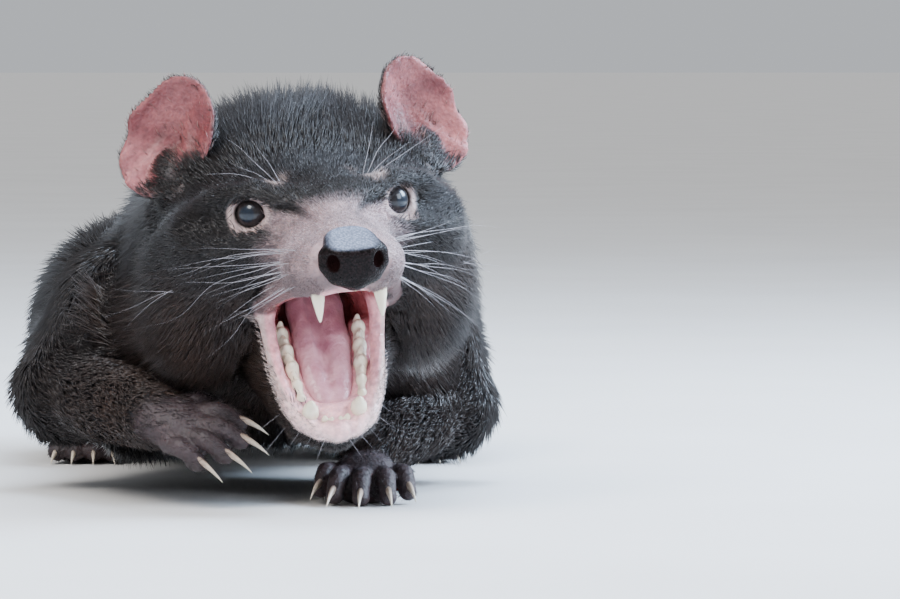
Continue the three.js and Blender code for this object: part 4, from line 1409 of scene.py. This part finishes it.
def build_coat(name, count, weight):
    """Tufts with a pointed root under the skin, three points round the middle, and a tip."""
    points, normals = sample_roots(count, weight)
    shares = zone_shares(points)
    found = masks(points)
    length, width, lift, _ = hair_sizes(points, shares, found)
    length = length * rng.uniform(0.7, 1.2, count)
    width = width * rng.uniform(0.75, 1.2, count)
    lift = np.radians(lift * rng.uniform(0.7, 1.3, count))
    way = unit(comb(points, normals, shares) + rng.normal(0, 0.13, (count, 3)))
    way = unit(way - normals * (way * normals).sum(1)[:, None])
    middle = points + (length * MIDDLE_AT)[:, None] * rising(way, normals, lift)
    tips = points + length[:, None] * rising(way, normals, lift * 0.72)
    bent = clump(points, tips, CLUMP_SIZE, CLUMP_PULL)
    middle = middle + (bent - tips) * 0.3
    for ends in (middle, bent):
        ends[:, 2] = np.maximum(ends[:, 2], FLOOR_GAP)
    across = np.cross(way, normals)
    angle = np.radians([90, 210, 330])[None, :, None]
    ring = np.cos(angle) * across[:, None] + np.sin(angle) * normals[:, None]
    middle_ring = middle[:, None] + ring * (width * 0.5)[:, None, None]
    root = points - normals * ROOT_DEPTH
    vertices = np.concatenate([root[:, None], middle_ring, bent[:, None]], 1)
    vertices[..., 2] = np.maximum(vertices[..., 2], 0.05)
    faces = np.arange(count)[:, None, None] * TUFT_POINTS + np.array(TUFT_FACES)
    piece = mesh_piece(name, vertices.reshape(-1, 3), [faces.reshape(-1, 3)], COAT)
    colour = coat_colour(points, found) * rng.uniform(0.7, 1.4, count)[:, None]
    shades = np.stack([colour * 0.6, colour, colour, colour, colour * 1.5 + 0.003], 1)
    paint(piece.data, "tint", np.clip(shades.reshape(-1, 3), 0, 1))
    place = (unwrap(points)[:, None] + np.array(PATCH_CORNERS) * PATCH).reshape(-1, 2)
    corners = np.empty(len(piece.data.loops), np.int32)
    piece.data.loops.foreach_get("vertex_index", corners)
    layer = piece.data.uv_layers.new(name="OFBake")
    layer.data.foreach_set("uv", place[corners].astype(np.float32).ravel())


def build_coats():
    """The coat in pieces that each stay below 200,000 triangles."""
    *_, density = hair_sizes(SKIN_POINTS, zone_shares(SKIN_POINTS), masks(SKIN_POINTS))
    front = smooth_step(34, 26, HEAD.into(SKIN_POINTS)[:, 1])
    weights = {"face": density * front, "body": density * (1 - front)}
    amounts = {name: (SKIN_AREAS * weight[TRIANGLES].mean(1)).sum() for name, weight in weights.items()}
    for name, weight in weights.items():
        count = int(TUFTS * amounts[name] / sum(amounts.values()))
        pieces = math.ceil(count / MOST_IN_PIECE)
        for i in range(pieces):
            build_coat(f"coat_{name}_{i + 1}", count // pieces, weight)


build_coats()


# Whiskers
WHISKER_SIDES = 5


def whisker_starts():
    """The frame, root, direction, length and radius of every whisker."""
    for side, row, column, place in whisker_roots():
        length = rng.uniform(26, 54) * (0.75 + 0.1 * column)
        way = (side, 0.25 + 0.12 * column, 0.12 - 0.2 * row + rng.uniform(-0.2, 0.2))
        yield HEAD, place, way, length, 0.11
    for side in SIDES:
        for i in range(4):
            brow = (side * (15 + 1.6 * i), 1.5, 10.5)
            yield HEAD, brow, (side * (0.35 + 0.25 * i), 0.35, 0.9 - 0.12 * i), rng.uniform(16, 36), 0.1
        for i in range(3):
            cheek = (side * 45, 22, -22 - 3 * i)
            yield HEAD, cheek, (side, 0.3, -0.35 + 0.3 * i), rng.uniform(20, 34), 0.1
        for i in range(5):
            chin = (side * (4 + 2.6 * i), -89 + 4 * i, -4)
            yield JAW, chin, (side * (0.5 + 0.2 * i), -0.3, -0.9), rng.uniform(8, 20), 0.09


def build_whiskers():
    vertices, quads, caps = [], [], []
    total = 0
    for base, place, way, length, radius in list(whisker_starts()):
        way = base.rotation @ unit(np.array([way], float))[0]
        t = np.linspace(-0.04, 1, 22)
        forward = np.maximum(t, 0)
        droop = np.array([0, 0, -1.0]) * length * rng.uniform(-0.08, 0.3)
        sway = np.cross(way, rng.normal(size=3)) * length * rng.uniform(0.01, 0.035)
        curl = np.sin(t * rng.uniform(5, 11) + rng.uniform(0, 6)) * forward
        path = base.out(place) + np.outer(t * length, way)
        path = path + np.outer(forward**2, droop) + np.outer(curl, sway)
        points, own_quads, own_caps = swept(path, radius * np.clip(1 - t, 0.06, 1), WHISKER_SIDES)
        vertices.append(points)
        quads.append(own_quads + total)
        caps.append(own_caps + total)
        total += len(points)
    faces = [np.concatenate(quads), np.concatenate(caps)]
    mesh_piece("whiskers", np.concatenate(vertices), faces, WHISKER)


build_whiskers()


# Floor, light and camera
FLOOR_HALF = 40


def build_floor():
    bm = bmesh.new()
    bmesh.ops.create_grid(bm, x_segments=40, y_segments=40, size=FLOOR_HALF)
    mesh = bpy.data.meshes.new("floor")
    bm.to_mesh(mesh)
    bm.free()
    mesh.materials.append(floor_material())
    place_object("floor", mesh)


def add_light(name, kind, power, colour, place, aim, **shape):
    light = bpy.data.lights.new(name, kind)
    light.energy, light.color = power, colour
    for key, value in shape.items():
        setattr(light, key, value)
    lamp = place_object(name, light)
    lamp.location = place
    lamp.rotation_euler = (Vector(aim) - Vector(place)).to_track_quat("-Z", "Y").to_euler()


# Each area light: power, colour, place and size
AREA_LIGHTS = {
    "key": (27, (1.0, 0.96, 0.92), (-0.9, -1.3, 1.3), 0.7),
    "sky": (22, (0.74, 0.85, 1.0), (0.1, -1.4, 2.0), 1.4),
    "top": (46, (0.66, 0.8, 1.0), (0.3, 0.1, 1.5), 1.0),
    "rim": (84, (0.6, 0.77, 1.0), (1.4, 0.1, 0.9), 0.7),
    "fill": (25, (0.84, 0.9, 1.0), (1.4, -1.0, 0.8), 0.9),
}
LIGHTS_AIM = (0, -0.15, 0.08)
SUN_WAY = (0.35, 0.5, -1.0)
FRAME_WIDTH, FRAME_HEIGHT = 900, 599
VIEW_AZIMUTH, VIEW_ELEVATION = -2.0, 2.5
DISTANCE = 2000.0
SENSOR = 36.0
PIXELS_PER_MM = 2.85
EYES_PIXEL = (324.5, 207.0)  # where the middle of the eyes is in the frame


def build_camera():
    azimuth, elevation = math.radians(VIEW_AZIMUTH), math.radians(VIEW_ELEVATION)
    right = np.array([math.cos(azimuth), math.sin(azimuth), 0])
    level = np.array([math.sin(azimuth), -math.cos(azimuth), 0])
    back = level * math.cos(elevation) + np.array([0, 0, math.sin(elevation)])
    up = -level * math.sin(elevation) + np.array([0, 0, math.cos(elevation)])
    target = np.array(EYE_MID, float) + right * ((FRAME_WIDTH / 2 - EYES_PIXEL[0]) / PIXELS_PER_MM)
    target -= up * ((FRAME_HEIGHT / 2 - EYES_PIXEL[1]) / PIXELS_PER_MM)
    place = to_scene(target + back * DISTANCE)
    camera = place_object("camera", bpy.data.cameras.new("camera"))
    camera.data.sensor_width = SENSOR
    camera.data.lens = SENSOR * DISTANCE / (FRAME_WIDTH / PIXELS_PER_MM)
    camera.data.clip_start = 0.05
    camera.matrix_world = Matrix([(right[i], up[i], back[i], place[i]) for i in range(3)] + [(0, 0, 0, 1)])
    bpy.context.scene.camera = camera


def build_world():
    world = bpy.data.worlds.new("world")
    bpy.context.scene.world = world
    world.use_nodes = True
    background = world.node_tree.nodes["Background"]
    background.inputs["Color"].default_value = (0.9, 0.94, 1.0, 1)
    background.inputs["Strength"].default_value = 0.6


build_floor()
build_camera()
build_world()
for name, (power, colour, place, size) in AREA_LIGHTS.items():
    add_light(name, "AREA", power, colour, place, LIGHTS_AIM, size=size)
add_light("day", "SUN", 1.5, (1.0, 0.985, 0.96), (0, 0, 0), SUN_WAY, angle=math.radians(30))
